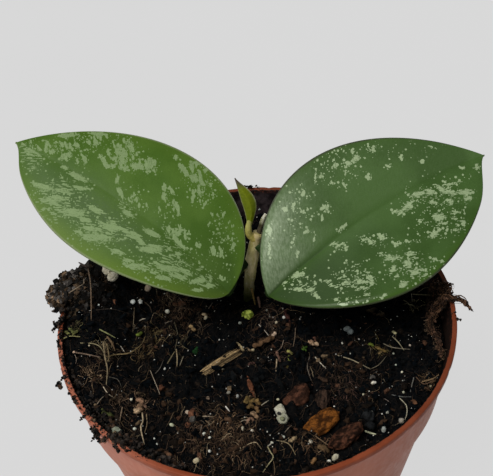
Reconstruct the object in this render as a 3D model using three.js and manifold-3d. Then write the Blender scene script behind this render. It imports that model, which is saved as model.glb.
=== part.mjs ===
// A hoya cutting in a nursery pot: a pair of splashed leaves and a young shoot on one short stem,
// rooted in a heaped mix of peat, bark and perlite.
// Millimetres, +Z up. The origin is the centre of the pot's underside.
import * as THREE from "three";
import { mergeVertices } from "three/addons/utils/BufferGeometryUtils.js";
import Module from "manifold-3d";

const wasm = await Module();
wasm.setup();

// Clearance between neighbouring pieces
const GAP = 0.3;

// Pot
const POT_SIDES = 48;
const POT_HEIGHT = 68;
const LIP_RADIUS = 45;
const LIP_WIDTH = 1.2;
const LIP_DEPTH = 1.7;
const COLLAR_TOP_RADIUS = 44;
const COLLAR_FOOT_RADIUS = 42.3;
const COLLAR_FOOT = 53;
const BODY_TOP_RADIUS = 41.1;
const BODY_TOP = 52;
const BASE_RADIUS = 31;
const WALL = 0.9;
const FLOOR = 1;
const FOOT_RING_INNER = 24;
const CENTRE_DISC_RADIUS = 13;
const CHANNEL_HEIGHT = 1.5;
const CHANNEL_SLOPE = 1;
const DRAIN_COUNT = 8;
const DRAIN_RADIUS = 2.5;
const DRAIN_RING = 18.5;

// Soil
const SOIL_SEGMENTS = 48;
const SOIL_RINGS = 14;
const SOIL_REACH = 44;
const SOIL_LEVEL = 60;

// Stem
const STEM_FOOT = [-2, 7.7, 46];
const STEM_TOP = [2, 8.2, 85.6];
const STEM_POINTS = [
  [-1.3, 7.9, 63],
  [-0.95, 8, 70],
  [0.1, 8, 78],
  [1.35, 8, 84],
];
const STEM_RADII = [1.2, 1.25, 1.25, 1.2, 1.4, 1.25];
const STUB = {
  points: [
    [1.7, 8.2, 83.6],
    [2.3, 8.6, 86.2],
    [3.1, 9.6, 88],
    [3.95, 10.4, 89.2],
  ],
  radii: [0.85, 0.7, 0.65, 0.5],
};

// Young shoot at the upper node: its stalk and its folded leaf
const SHOOT_STALK = {
  points: [
    [0.9, 7.8, 84.5],
    [0, 7.6, 86],
    [-0.15, 7.6, 87.8],
    [0.2, 7.9, 89.8],
    [0.6, 8, 92],
  ],
  radii: [1, 0.75, 0.7, 0.7, 0.7],
};
const SHOOT_LEAF = {
  points: [
    [0.3, 8, 90.4],
    [0.9, 8, 93],
    [0.6, 8, 96],
    [-0.7, 8, 99],
    [-1.9, 8, 100.7],
  ],
  radii: [0.5, 1.4, 1.3, 0.8, 0.3],
};

// Leaves. The midrib starts at base and climbs at incline in a plane that leans back by LEAF_LEAN.
// Each half blade is width * s^swell * (1 - s)^taper * (1 + skew * (s - 0.5)), scaled to its peak,
// and tip is how much of it is taken off where the leaf runs out into its point.
const LEAF_LEAN = THREE.MathUtils.degToRad(42);
const LEAF_ROWS = 26;
const HALF_COLUMNS = 6;
const BLADE_EDGE = 0.7;
const BLADE_MIDDLE = 1.1;
const MIDRIB_RIDGE = 0.7;
const MIDRIB_WIDTH = 1.6;
const PETIOLE_RADII = [1.1, 1, 1, 1, 0.6];
const PETIOLE_JOIN_ROW = 4;
const PETIOLE_SINK = 1.1;
const LEAF_ARCH = 0.4;
const LEAF_CREASE = 0.05;
const LEAF_CUP = 0.35;
const TIP_SPAN = 0.04;
const LEAVES = [
  {
    name: "leaf_left",
    side: -1,
    base: [-5.4, -3, 78.9],
    length: 58.5,
    incline: THREE.MathUtils.degToRad(39.5),
    bend: 0.4,
    turn: -0.24,
    fold: 0.2,
    upper: { width: 18.25, swell: 0.6, taper: 0.91, skew: -0.05, tip: 0 },
    lower: { width: 14.6, swell: 0.49, taper: 0.8, skew: 0.88, tip: 0.65 },
    petiole: [[-0.8, 8, 77.4], [-2.4, 7.4, 76.4], [-4.2, 4, 76.4], [-5, 0, 77.6]],
    color: 0x55752c,
  },
  {
    name: "leaf_right",
    side: 1,
    base: [3.1, -3, 77.1],
    length: 57.7,
    incline: THREE.MathUtils.degToRad(28.8),
    bend: 0.37,
    turn: -0.069,
    fold: 0.45,
    upper: { width: 17.4, swell: 0.79, taper: 0.96, skew: -0.17, tip: 0 },
    lower: { width: 18.75, swell: 0.715, taper: 0.645, skew: -0.07, tip: 0.8 },
    petiole: [[1.7, 7.4, 83], [2.9, 6.3, 81.4], [3.6, 3, 78.8], [3.4, 0, 77]],
    color: 0x41642f,
  },
];

// Loose pieces on the mix: centre, size along, across and up, yaw and tilt in degrees
const CHIPS = [
  {
    name: "bark_chip_mauve",
    centre: [7.8, -21.3, 64.6],
    size: [6.6, 5, 1.8],
    yaw: 25,
    tilt: 12,
    seed: 3,
    color: 0x5e3f38,
  },
  {
    name: "bark_chip_wrinkled",
    centre: [13.1, -22.3, 64.4],
    size: [4, 5, 2.3],
    yaw: -10,
    tilt: 10,
    seed: 5,
    color: 0x33241f,
  },
  {
    name: "bark_chip_orange",
    centre: [12.3, -28.8, 64.9],
    size: [9, 5.4, 2.2],
    yaw: 22,
    tilt: 16,
    seed: 7,
    color: 0x8a4a22,
  },
  {
    name: "bark_chip_brown",
    centre: [16.8, -32.6, 64.4],
    size: [8.6, 5.4, 2.2],
    yaw: 38,
    tilt: 10,
    seed: 11,
    color: 0x5b3a30,
  },
  {
    name: "wood_splinter",
    centre: [-8.1, -10.6, 65],
    size: [11.8, 2.4, 1.4],
    yaw: 40,
    tilt: -6,
    seed: 13,
    color: 0xb59468,
  },
  {
    name: "bark_needle",
    centre: [-2.3, -18.4, 65.9],
    size: [6, 1, 0.8],
    yaw: -78,
    tilt: 14,
    seed: 17,
    color: 0x8f4630,
  },
  {
    name: "green_bud",
    centre: [-1.7, 3, 65.3],
    size: [3.1, 1.9, 1.7],
    yaw: 0,
    tilt: 0,
    seed: 19,
    color: 0x8fa83c,
  },
];
// Layers of a chip from its underside up: height as a share of its thickness, and spread
const CHIP_LAYERS = [
  [-0.5, 0.74],
  [-0.1, 1],
  [0.25, 0.94],
  [0.5, 0.66],
];
const CHIP_CORNERS = 9;
const CHIP_CORNER_REACH = [0.78, 1.12];

// Perlite grains: place and radius; a second lobe sits beside the larger ones, and the grain that
// rests on the heap has its height too
const PERLITE = [
  { at: [-33.9, 14.8], height: 70.6, radius: 1.8, lobe: [1.7, -1.2] },
  { at: [-28.6, 11], radius: 0.8 },
  { at: [-27, 10.5], radius: 0.9 },
  { at: [-20.6, 6.9], radius: 0.75 },
  { at: [3.8, -24.3], radius: 1.3, lobe: [0.3, -2] },
  { at: [-31.2, -26.7], radius: 1.3, lobe: [-1.4, 0.2] },
  { at: [20.9, -1.1], radius: 1.1 },
  { at: [12.3, -4.2], radius: 1.4 },
];

// Heaps of mix at the left rim: centre and radii
const HEAPS = [
  { centre: [-38.6, 10.5, 67.6], radii: [6, 7.5, 3.6] },
  { centre: [-42.5, 11.4, 70.2], radii: [4.1, 4.4, 2.5] },
  { centre: [-45.3, 9.5, 69.6], radii: [2.4, 2.8, 1.6] },
  { centre: [-36.8, 16, 68], radii: [4.6, 4.8, 4.2] },
];
const HEAP_CENTRE = [-38, 12];
const HEAP_REACH = [13, 18];
const HEAP_FOOT = 61.5;
const HEAP_SEGMENTS = 32;
const HEAP_ROUGHNESS = 0.34;
const GRAIN_ROUGHNESS = 0.2;
const GRAIN_LIFT = 0.3;
const LOBE_SHARE = 0.8;
const CRUMB_COUNT = 44;
const CRUMB_REACH = 39.5;
const CRUMB_SIZE = [0.9, 2.4];
const CRUMB_STRETCH = [1.4, 1, 0.8];
const CRUMB_SINK = 0.35;
const CRUMB_ROUGHNESS = 0.5;
const SEEDS = { heap: 40, grain: 60, lobe: 80, scatter: 101, crumb: 200 };

// Thick fibres that stand out of the mix: points of each and its radius
const FIBRES = [
  { radius: 0.4, points: [[-38.6, 17, 68.6], [-38.8, 14.6, 72.4], [-38.2, 8, 71.4], [-37.2, 1.4, 64]] },
  { radius: 0.5, points: [[-39, -4, 62], [-36, -5, 67.8], [-33, -6, 67.6], [-31.6, -12, 66.2], [-32, -17, 62]] },
  { radius: 0.45, points: [[-41.5, -7, 62], [-40, -7, 67.6], [-36.5, -8, 67.8], [-33, -9, 66]] },
  { radius: 0.5, points: [[-22.6, -22, 61], [-21.6, -26, 66.4], [-21.4, -32, 65.6], [-21, -35, 61]] },
  { radius: 0.45, points: [[0.1, 4.6, 61], [0.15, 5.2, 66.5], [-0.35, 6, 70.4]] },
  { radius: 0.45, points: [[1.4, 5.4, 61], [1.3, 5.4, 66], [1, 6.2, 67.8]] },
  { radius: 0.35, points: [[13, -8, 61], [17, -10.5, 65], [22, -13, 65], [26, -15, 61]] },
];
const FIBRE_SIDES = 5;

// Roots draped over the right side of the lip, out of the mix and over
const ROOTS = [
  {
    points: [
      [40.8, -11.6, 61],
      [40.2, -8.2, 63.8],
      [38.9, -4.8, 65.8],
      [39.9, -2.6, 67.5],
      [42.6, -0.6, 69.5],
      [45, -1.1, 69.7],
      [46.8, -1.4, 69],
      [48.2, -2.4, 67.6],
    ],
    radii: [0.7, 0.9, 1.1, 1.2, 1.2, 0.9, 0.7, 0.5],
  },
  {
    points: [
      [41, 6.4, 61.4],
      [41.4, 5, 66.6],
      [43.2, 2.6, 69.6],
      [43.8, 0, 69.9],
    ],
    radii: [0.6, 0.7, 0.9, 0.7],
  },
];
const ROOT_SIDES = 7;
const ROOT_STEPS = 12;

// Repeatable random draws in 0..1
function draws(seed) {
  let state = seed * 7919;
  return () => {
    state = (state * 16807) % 2147483647;
    return state / 2147483647;
  };
}

function bell(x, y, centreX, centreY, spreadX, spreadY) {
  return Math.exp(-(((x - centreX) / spreadX) ** 2 + ((y - centreY) / spreadY) ** 2) / 2);
}

// Height of the mix: a low mound, a front ridge, a rise at the stem and a heap at the left
function soilHeight(x, y) {
  const mound = 4.2 * bell(x, y, -4, -8, 20, 20);
  const front = 2.6 * bell(x, y, 0, -32, 26, 12);
  const collar = 1.3 * bell(x, y, -1, 8, 8, 8);
  const heap = 6.6 * bell(x, y, -37, 8, 7, 12);
  const leftEdge = 3.6 * bell(x, y, -41, -12, 7, 16);
  const clods = 0.7 * Math.sin(0.83 * x + 0.4 * y) * Math.sin(0.9 * y - 0.35 * x + 1);
  const lumps = 0.5 * Math.sin(1.7 * x - 0.9 * y + 2) * Math.sin(1.5 * y + 0.8 * x);
  return SOIL_LEVEL + mound + front + collar + heap + leftEdge + clods + lumps;
}

// A geometry with outward faces from points and triangles that close
function closedGeometry(points, index) {
  const cross = new THREE.Vector3();
  let volume = 0;
  for (let i = 0; i < index.length; i += 3) {
    cross.crossVectors(points[index[i + 1]], points[index[i + 2]]);
    volume += points[index[i]].dot(cross);
  }
  if (volume < 0) index.reverse();
  const geometry = new THREE.BufferGeometry().setFromPoints(points);
  geometry.setIndex(index);
  return geometry;
}

// A closed skin over a row of rings with the same number of points
function loft(rings) {
  const around = rings[0].length;
  const points = rings.flat();
  const index = [];
  for (let ring = 0; ring < rings.length - 1; ring++) {
    for (let k = 0; k < around; k++) {
      const a = ring * around + k;
      const b = ring * around + ((k + 1) % around);
      index.push(a, b, b + around, a, b + around, a + around);
    }
  }
  for (const last of [false, true]) {
    const first = last ? (rings.length - 1) * around : 0;
    const centre = points.length;
    const sum = new THREE.Vector3();
    for (let k = 0; k < around; k++) sum.add(points[first + k]);
    points.push(sum.divideScalar(around));
    for (let k = 0; k < around; k++) {
      const a = first + k;
      const b = first + ((k + 1) % around);
      index.push(...(last ? [a, b, centre] : [b, a, centre]));
    }
  }
  return closedGeometry(points, index);
}

// A closed sheet between two grids of points, split into triangles alike on both faces
function sheet(upper, lower) {
  const rows = upper.length;
  const columns = upper[0].length;
  const under = rows * columns;
  const at = (row, column) => row * columns + column;
  const index = [];
  for (let row = 0; row < rows - 1; row++) {
    for (let column = 0; column < columns - 1; column++) {
      const a = at(row, column);
      const b = at(row + 1, column);
      const c = at(row + 1, column + 1);
      const d = at(row, column + 1);
      index.push(a, b, c, a, c, d);
      index.push(under + a, under + c, under + b, under + a, under + d, under + c);
    }
  }
  const border = [];
  for (let column = 0; column < columns - 1; column++) border.push(at(0, column));
  for (let row = 0; row < rows - 1; row++) border.push(at(row, columns - 1));
  for (let column = columns - 1; column > 0; column--) border.push(at(rows - 1, column));
  for (let row = rows - 1; row > 0; row--) border.push(at(row, 0));
  border.forEach((from, k) => {
    const to = border[(k + 1) % border.length];
    index.push(from, to, under + to, from, under + to, under + from);
  });
  return closedGeometry([...upper.flat(), ...lower.flat()], index);
}

// A round branch through points, its radius running through a list of radii
function branch(points, radii, sides, steps, grow = 0) {
  const curve = new THREE.CatmullRomCurve3(points.map((point) => new THREE.Vector3(...point)));
  const frames = curve.computeFrenetFrames(steps);
  const rings = [];
  for (let step = 0; step <= steps; step++) {
    const along = (step / steps) * (radii.length - 1);
    const from = Math.min(Math.floor(along), radii.length - 2);
    const radius = THREE.MathUtils.lerp(radii[from], radii[from + 1], along - from) + grow;
    const centre = curve.getPointAt(step / steps);
    const ring = [];
    for (let k = 0; k < sides; k++) {
      const angle = (2 * Math.PI * k) / sides;
      ring.push(
        centre
          .clone()
          .addScaledVector(frames.normals[step], radius * Math.cos(angle))
          .addScaledVector(frames.binormals[step], radius * Math.sin(angle)),
      );
    }
    rings.push(ring);
  }
  return loft(rings);
}

// A geometry that keeps only positions, with its shared vertices merged
function merged(geometry) {
  const bare = geometry.clone();
  bare.deleteAttribute("normal");
  bare.deleteAttribute("uv");
  return mergeVertices(bare, 1e-4);
}

function toSolid(geometry) {
  const closed = merged(geometry);
  return new wasm.Manifold(
    new wasm.Mesh({
      numProp: 3,
      vertProperties: closed.attributes.position.array,
      triVerts: new Uint32Array(closed.index.array),
    }),
  );
}

// The body that is left when loose scraps are dropped
function largest(solid) {
  return solid.decompose().reduce((most, body) => (body.volume() > most.volume() ? body : most));
}

function piece(name, solid, color, roughness) {
  const { vertProperties, triVerts } = solid.getMesh();
  const geometry = new THREE.BufferGeometry();
  geometry.setAttribute("position", new THREE.BufferAttribute(vertProperties, 3));
  geometry.setIndex(new THREE.BufferAttribute(triVerts, 1));
  geometry.computeVertexNormals();
  const mesh = new THREE.Mesh(geometry, new THREE.MeshStandardMaterial({ color, roughness }));
  mesh.name = name;
  return mesh;
}

function lathe(profile) {
  const points = profile.map(([radius, height]) => new THREE.Vector2(radius, height));
  const geometry = new THREE.LatheGeometry(points, POT_SIDES);
  return toSolid(geometry.rotateX(Math.PI / 2));
}

// Pot wall from the floor's edge to the lip, as [radius, height], moved inwards by inset
function innerWall(inset) {
  const lipInner = LIP_RADIUS - LIP_WIDTH;
  return [
    [BASE_RADIUS - WALL - inset, FLOOR],
    [BODY_TOP_RADIUS - WALL - inset, BODY_TOP - WALL / 2],
    [COLLAR_FOOT_RADIUS - WALL - inset, COLLAR_FOOT - WALL / 2],
    [lipInner - inset, POT_HEIGHT - LIP_DEPTH],
    [lipInner - inset, POT_HEIGHT],
  ];
}

function makePot() {
  const shell = lathe([
    [0, 0],
    [CENTRE_DISC_RADIUS, 0],
    [CENTRE_DISC_RADIUS + CHANNEL_SLOPE, CHANNEL_HEIGHT],
    [FOOT_RING_INNER - CHANNEL_SLOPE, CHANNEL_HEIGHT],
    [FOOT_RING_INNER, 0],
    [BASE_RADIUS, 0],
    [BODY_TOP_RADIUS, BODY_TOP],
    [COLLAR_FOOT_RADIUS, COLLAR_FOOT],
    [COLLAR_TOP_RADIUS, POT_HEIGHT - LIP_DEPTH],
    [LIP_RADIUS, POT_HEIGHT - LIP_DEPTH],
    [LIP_RADIUS, POT_HEIGHT],
    ...innerWall(0).reverse(),
    [FOOT_RING_INNER, FLOOR],
    [FOOT_RING_INNER - CHANNEL_SLOPE, CHANNEL_HEIGHT + FLOOR],
    [CENTRE_DISC_RADIUS + CHANNEL_SLOPE, CHANNEL_HEIGHT + FLOOR],
    [CENTRE_DISC_RADIUS, FLOOR],
    [0, FLOOR],
  ]);
  const drill = new THREE.CylinderGeometry(DRAIN_RADIUS, DRAIN_RADIUS, 3 * CHANNEL_HEIGHT, 12);
  drill.rotateX(Math.PI / 2);
  let pot = shell;
  for (let hole = 0; hole < DRAIN_COUNT; hole++) {
    const angle = (2 * Math.PI * (hole + 0.5)) / DRAIN_COUNT;
    const centre = [DRAIN_RING * Math.cos(angle), DRAIN_RING * Math.sin(angle), CHANNEL_HEIGHT];
    pot = pot.subtract(toSolid(drill.clone().translate(...centre)));
  }
  return pot;
}

// An irregular flat chip: a many-cornered outline that is widest at mid height
function chipShape({ centre, size, yaw, tilt, seed }, grow = 0) {
  const draw = draws(seed);
  const reach = Array.from({ length: CHIP_CORNERS }, () => THREE.MathUtils.lerp(...CHIP_CORNER_REACH, draw()));
  const rings = CHIP_LAYERS.map(([height, spread]) =>
    reach.map((share, corner) => {
      const angle = (2 * Math.PI * corner) / CHIP_CORNERS;
      return new THREE.Vector3(
        (size[0] / 2) * spread * share * Math.cos(angle) + grow * Math.cos(angle),
        (size[1] / 2) * spread * share * Math.sin(angle) + grow * Math.sin(angle),
        height * (size[2] + 2 * grow),
      );
    }),
  );
  const geometry = loft(rings);
  geometry.rotateY(-THREE.MathUtils.degToRad(tilt));
  geometry.rotateZ(THREE.MathUtils.degToRad(yaw));
  return geometry.translate(...centre);
}

// A lump with many flat faces, rough by its seed
function lump(centre, radii, detail, roughness, seed) {
  const geometry = merged(new THREE.IcosahedronGeometry(1, detail));
  const draw = draws(seed);
  const position = geometry.attributes.position;
  const point = new THREE.Vector3();
  for (let i = 0; i < position.count; i++) {
    point.fromBufferAttribute(position, i).multiplyScalar(1 + roughness * (draw() - 0.5));
    position.setXYZ(i, point.x * radii[0], point.y * radii[1], point.z * radii[2]);
  }
  geometry.rotateZ(2 * Math.PI * draw());
  return geometry.translate(...centre);
}

function stemShape(grow = 0) {
  const [footX, footY, footZ] = STEM_FOOT;
  const [topX, topY, topZ] = STEM_TOP;
  const points = [[footX, footY, footZ - grow], ...STEM_POINTS, [topX, topY, topZ + grow]];
  return branch(points, STEM_RADII, 10, 14, grow);
}

function makeStem() {
  return toSolid(stemShape()).add(toSolid(branch(STUB.points, STUB.radii, 8, 5)));
}

function makeShoot(stemSpace) {
  const stalk = branch(SHOOT_STALK.points, SHOOT_STALK.radii, 8, 8);
  const leaf = branch(SHOOT_LEAF.points, SHOOT_LEAF.radii, 8, 8);
  return toSolid(stalk).add(toSolid(leaf)).subtract(stemSpace);
}

function halfWidth(s, { width, swell, taper, skew, tip }) {
  const form = (x) => x ** swell * (1 - x) ** taper * (1 + skew * (x - 0.5));
  let peak = 0;
  for (let i = 0; i <= 200; i++) peak = Math.max(peak, form(i / 200));
  const drawn = 1 - tip * Math.exp(-(((1 - s) / TIP_SPAN) ** 2));
  return (width * form(s) * drawn) / peak;
}

// Midline and cross-section frames of a leaf: each row has its s, point, upward and face directions
function leafRows(leaf) {
  const face = new THREE.Vector3(0, -Math.sin(LEAF_LEAN), Math.cos(LEAF_LEAN));
  const outward = new THREE.Vector3(leaf.side, 0, 0);
  const climb = new THREE.Vector3(0, Math.cos(LEAF_LEAN), Math.sin(LEAF_LEAN));
  const axis = outward
    .multiplyScalar(Math.cos(leaf.incline))
    .addScaledVector(climb, Math.sin(leaf.incline));
  const across = new THREE.Vector3().crossVectors(face, axis).multiplyScalar(leaf.side);
  const rows = [];
  const point = new THREE.Vector3(...leaf.base);
  for (let row = 0; row <= LEAF_ROWS; row++) {
    const s = Math.sin(((Math.PI / 2) * row) / LEAF_ROWS) ** 2;
    const bend = leaf.bend * (0.5 - s);
    const arch = LEAF_ARCH * (0.5 - s);
    const tangent = axis
      .clone()
      .multiplyScalar(Math.cos(bend) * Math.cos(arch))
      .addScaledVector(across, Math.sin(bend) * Math.cos(arch))
      .addScaledVector(face, Math.sin(arch));
    if (row > 0) {
      const before = rows[row - 1];
      const step = (leaf.length * (s - before.s)) / 2;
      point.addScaledVector(before.tangent, step).addScaledVector(tangent, step);
    }
    const up = across.clone().addScaledVector(tangent, -across.dot(tangent)).normalize();
    const out = new THREE.Vector3().crossVectors(tangent, up);
    if (out.dot(face) < 0) out.negate();
    const turned = up.clone().multiplyScalar(Math.cos(leaf.turn)).addScaledVector(out, Math.sin(leaf.turn));
    out.multiplyScalar(Math.cos(leaf.turn)).addScaledVector(up, -Math.sin(leaf.turn));
    rows.push({ s, point: point.clone(), tangent, up: turned, out });
  }
  return rows;
}

// Point of the blade's face: v runs from -1 at the lower margin over 0 at the midrib to 1
function bladePoint(leaf, row, v) {
  const half = v < 0 ? leaf.lower : leaf.upper;
  const width = halfWidth(row.s, half) * Math.abs(v);
  const start = leaf.fold * (1 - row.s) ** 2 + LEAF_CREASE;
  const middle = start - (LEAF_CUP * Math.abs(v)) / 2;
  return row.point
    .clone()
    .addScaledVector(row.up, Math.sign(v) * width * Math.cos(middle))
    .addScaledVector(row.out, width * Math.sin(middle));
}

function makeLeaf(leaf, stemSpace) {
  const rows = leafRows(leaf).slice(1, -1);
  const front = [];
  const back = [];
  for (const row of rows) {
    const faceRow = [];
    const backRow = [];
    const breadth = halfWidth(row.s, leaf.upper);
    for (let column = -HALF_COLUMNS; column <= HALF_COLUMNS; column++) {
      const v = column / HALF_COLUMNS;
      const point = bladePoint(leaf, row, v);
      const rib = MIDRIB_RIDGE * Math.exp(-(((v * breadth) / MIDRIB_WIDTH) ** 2)) * (1 - row.s);
      const thick = THREE.MathUtils.lerp(BLADE_MIDDLE, BLADE_EDGE, v * v) + rib;
      faceRow.push(point);
      backRow.push(point.clone().addScaledVector(row.out, -thick));
    }
    front.push(faceRow);
    back.push(backRow);
  }
  const ends = [rows[0], rows[PETIOLE_JOIN_ROW]].map(({ point, out }) =>
    point.clone().addScaledVector(out, -PETIOLE_SINK).toArray(),
  );
  const route = [...leaf.petiole, ...ends];
  const petiole = branch(route, PETIOLE_RADII, 8, 10);
  return toSolid(sheet(front, back)).add(toSolid(petiole)).subtract(stemSpace);
}

function makeRoots(potSpace) {
  const roots = ROOTS.map(({ points, radii }) => toSolid(branch(points, radii, ROOT_SIDES, ROOT_STEPS)));
  return roots.reduce((all, root) => all.add(root)).subtract(potSpace);
}

// The mix as a solid disc under the height field, cut to the inside of the pot
function soilBed() {
  const floor = CHANNEL_HEIGHT + FLOOR + GAP;
  const ringAt = (radius, height) =>
    Array.from({ length: SOIL_SEGMENTS }, (_, k) => {
      const angle = (2 * Math.PI * k) / SOIL_SEGMENTS;
      const x = radius * Math.cos(angle);
      const y = radius * Math.sin(angle);
      return new THREE.Vector3(x, y, height ?? soilHeight(x, y));
    });
  const rings = [ringAt(SOIL_REACH, floor)];
  for (let ring = SOIL_RINGS; ring > 0; ring--) rings.push(ringAt((SOIL_REACH * ring) / SOIL_RINGS));
  const wall = innerWall(GAP);
  const above = 2 * POT_HEIGHT;
  const inside = lathe([[0, 0], ...wall, [wall.at(-1)[0], above], [0, above]]);
  return toSolid(loft(rings)).intersect(inside);
}

// The space round the pot's wall that the heaps stay clear of
function makePotSpace() {
  const inner = innerWall(GAP).reverse();
  return lathe([
    inner.at(-1),
    [LIP_RADIUS + GAP, FLOOR],
    [LIP_RADIUS + GAP, POT_HEIGHT + GAP],
    [inner[0][0], POT_HEIGHT + GAP],
    ...inner,
  ]);
}

// Everything that lies on the bed of mix: heaps at the left rim, perlite, crumbs and fibres
function soilExtras() {
  const parts = HEAPS.map(({ centre, radii }, k) => lump(centre, radii, 2, HEAP_ROUGHNESS, SEEDS.heap + k));
  const grain = (x, y, z, radius, seed) => {
    parts.push(lump([x, y, z + GRAIN_LIFT * radius], [radius, radius, radius], 1, GRAIN_ROUGHNESS, seed));
  };
  PERLITE.forEach(({ at: [x, y], height, radius, lobe }, k) => {
    grain(x, y, height ?? soilHeight(x, y), radius, SEEDS.grain + k);
    if (!lobe) return;
    const [besideX, besideY] = [x + lobe[0], y + lobe[1]];
    const level = height ?? soilHeight(besideX, besideY);
    grain(besideX, besideY, level, LOBE_SHARE * radius, SEEDS.lobe + k);
  });
  const draw = draws(SEEDS.scatter);
  for (let crumb = 0; crumb < CRUMB_COUNT; crumb++) {
    const angle = 2 * Math.PI * draw();
    const ring = CRUMB_REACH * Math.sqrt(draw());
    const x = ring * Math.cos(angle);
    const y = ring * Math.sin(angle);
    const size = THREE.MathUtils.lerp(...CRUMB_SIZE, draw() ** 2);
    const centre = [x, y, soilHeight(x, y) - CRUMB_SINK * size];
    const radii = CRUMB_STRETCH.map((share) => share * size);
    parts.push(lump(centre, radii, 0, CRUMB_ROUGHNESS, SEEDS.crumb + crumb));
  }
  for (const { points, radius } of FIBRES) {
    parts.push(branch(points, [radius, radius, radius * 0.8], FIBRE_SIDES, 3 * points.length));
  }
  return parts.map(toSolid).reduce((all, part) => all.add(part));
}

// The oval column that the heap at the left fills, above the level of the bed round it
function heapSpace(grow) {
  const column = new THREE.CylinderGeometry(1, 1, POT_HEIGHT, HEAP_SEGMENTS);
  column.rotateX(Math.PI / 2);
  column.scale(HEAP_REACH[0] + grow, HEAP_REACH[1] + grow, 1);
  return toSolid(column.translate(HEAP_CENTRE[0], HEAP_CENTRE[1], HEAP_FOOT - grow + POT_HEIGHT / 2));
}

function makeMix(potSpace, sockets) {
  let mix = soilBed().add(soilExtras().subtract(potSpace));
  for (const socket of sockets) mix = mix.subtract(socket);
  return { bed: largest(mix.subtract(heapSpace(GAP))), heap: largest(mix.intersect(heapSpace(0))) };
}

const stemSpace = toSolid(stemShape(GAP));
const potSpace = makePotSpace();
const sockets = [
  stemSpace,
  ...CHIPS.map((chip) => toSolid(chipShape(chip, GAP))),
  ...ROOTS.map(({ points, radii }) => toSolid(branch(points, radii, ROOT_SIDES, ROOT_STEPS, GAP))),
];

const group = new THREE.Group();
group.add(piece("pot", makePot(), 0xb5634a, 0.5));
const mix = makeMix(potSpace, sockets);
group.add(piece("soil", mix.bed, 0x221b17, 0.95));
group.add(piece("soil_heap", mix.heap, 0x2a211c, 0.95));
group.add(piece("stem", makeStem(), 0x7d7446, 0.7));
for (const leaf of LEAVES) group.add(piece(leaf.name, makeLeaf(leaf, stemSpace), leaf.color, 0.4));
group.add(piece("young_shoot", makeShoot(stemSpace), 0x8a9440, 0.5));
for (const chip of CHIPS) group.add(piece(chip.name, toSolid(chipShape(chip)), chip.color, 0.85));
group.add(piece("root_clump", makeRoots(potSpace), 0x5a4330, 0.9));

export default group;
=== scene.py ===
import math

import bpy
import numpy as np
from mathutils import Matrix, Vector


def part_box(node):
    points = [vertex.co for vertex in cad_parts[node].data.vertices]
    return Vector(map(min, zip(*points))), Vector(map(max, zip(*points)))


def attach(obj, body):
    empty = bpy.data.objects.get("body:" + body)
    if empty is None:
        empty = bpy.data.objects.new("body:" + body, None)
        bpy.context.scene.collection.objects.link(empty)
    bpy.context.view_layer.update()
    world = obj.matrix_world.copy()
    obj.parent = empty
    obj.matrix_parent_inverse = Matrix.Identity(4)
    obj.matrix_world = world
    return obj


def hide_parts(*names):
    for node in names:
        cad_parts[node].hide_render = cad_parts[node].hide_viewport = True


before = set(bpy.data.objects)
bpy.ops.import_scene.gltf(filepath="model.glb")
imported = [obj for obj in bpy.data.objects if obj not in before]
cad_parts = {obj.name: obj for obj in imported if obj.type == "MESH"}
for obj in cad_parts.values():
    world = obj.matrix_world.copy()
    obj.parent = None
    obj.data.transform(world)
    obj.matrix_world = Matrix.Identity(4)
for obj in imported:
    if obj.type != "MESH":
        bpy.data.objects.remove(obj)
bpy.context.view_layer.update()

MM = 0.001

# The photograph's frame in pixels, and the camera that sees the pot as it does
PHOTO_WIDTH, PHOTO_HEIGHT = 493, 476
FOCAL_PIXELS = 1100
SENSOR_MM = 36
CAMERA_DISTANCE = 249.5
CAMERA_ELEVATION = math.radians(46.9)
CAMERA_PAN = math.radians(-0.17)
CAMERA_TILT = math.radians(4.05)
CAMERA_ROLL = math.radians(-4.3)

# Pot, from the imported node: its height and the radius of its lip
POT_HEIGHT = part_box("pot")[1].z / MM
LIP_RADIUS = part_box("pot")[1].x / MM
LIP_WIDTH = 1.2
LIP_DEPTH = 1.7
COLLAR_TOP_RADIUS = LIP_RADIUS - 1
COLLAR_FOOT_RADIUS = 42.3
COLLAR_FOOT = 53
BODY_TOP_RADIUS = 41.1
BODY_TOP = 52
BASE_RADIUS = 31
WALL = 0.9
FLOOR = 1
FOOT_RING_INNER = 24
CENTRE_DISC_RADIUS = 13
CHANNEL_HEIGHT = 1.5
DRAIN_COUNT = 8
DRAIN_RADIUS = 2.5
DRAIN_RING = 18.5

# Leaves: lean, arch, crease and cup in radians, the rest in millimetres or shares of a blade
LEAF_LEAN = math.radians(42)
BLADE_EDGE = 0.62
BLADE_MIDDLE = 1.05
MIDRIB_RIDGE = 0.7
MIDRIB_WIDTH = 1.6
GROOVE_WIDTH = 0.5
LEAF_ARCH = 0.4
LEAF_CREASE = 0.05
LEAF_CUP = 0.35
LEAF_RIPPLE = 0.16
TIP_SPAN = 0.04
EDGE_ROUND = 0.22
LEAF_GRID = (150, 40)
PETIOLE_SINK = 1.3
PETIOLE_RADII = (1.1, 1, 1, 0.9, 0.6)
PETIOLE_GRID = (40, 16)
# The petiole ends under the midrib, at two of so many rows; and how much of it is in shade
PETIOLE_ENDS = (3, 10)
MIDRIB_ROWS = 60
PETIOLE_SHADE = 0.8
# How far apart the veins lie, how they curve, and how long a fleck is
VEIN_SPACING = 1.15
VEIN_CURVE = 0.008
FLECK_LENGTH = 3.0
# Keeps the flecks of the two halves apart, and how the midrib's line and the pale rim are drawn; the pale
# rim of the left leaf is a painted lit edge, and the right leaf's dark midrib line is painted shade in its
# crease
HALF_SHIFT = 5.0
RIB_LINE = 0.25
RIB_FADE = 1 / 12
RIM_START = 0.975
# Strength at the heart of a blotch, how much stronger a narrow one is, and how it falls off outward
BLOTCH_PEAK = 0.605
NARROW_PEAK = 0.12
BLOTCH_FALL = 0.13
DRIZZLE_LIFT = 0.035
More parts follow.
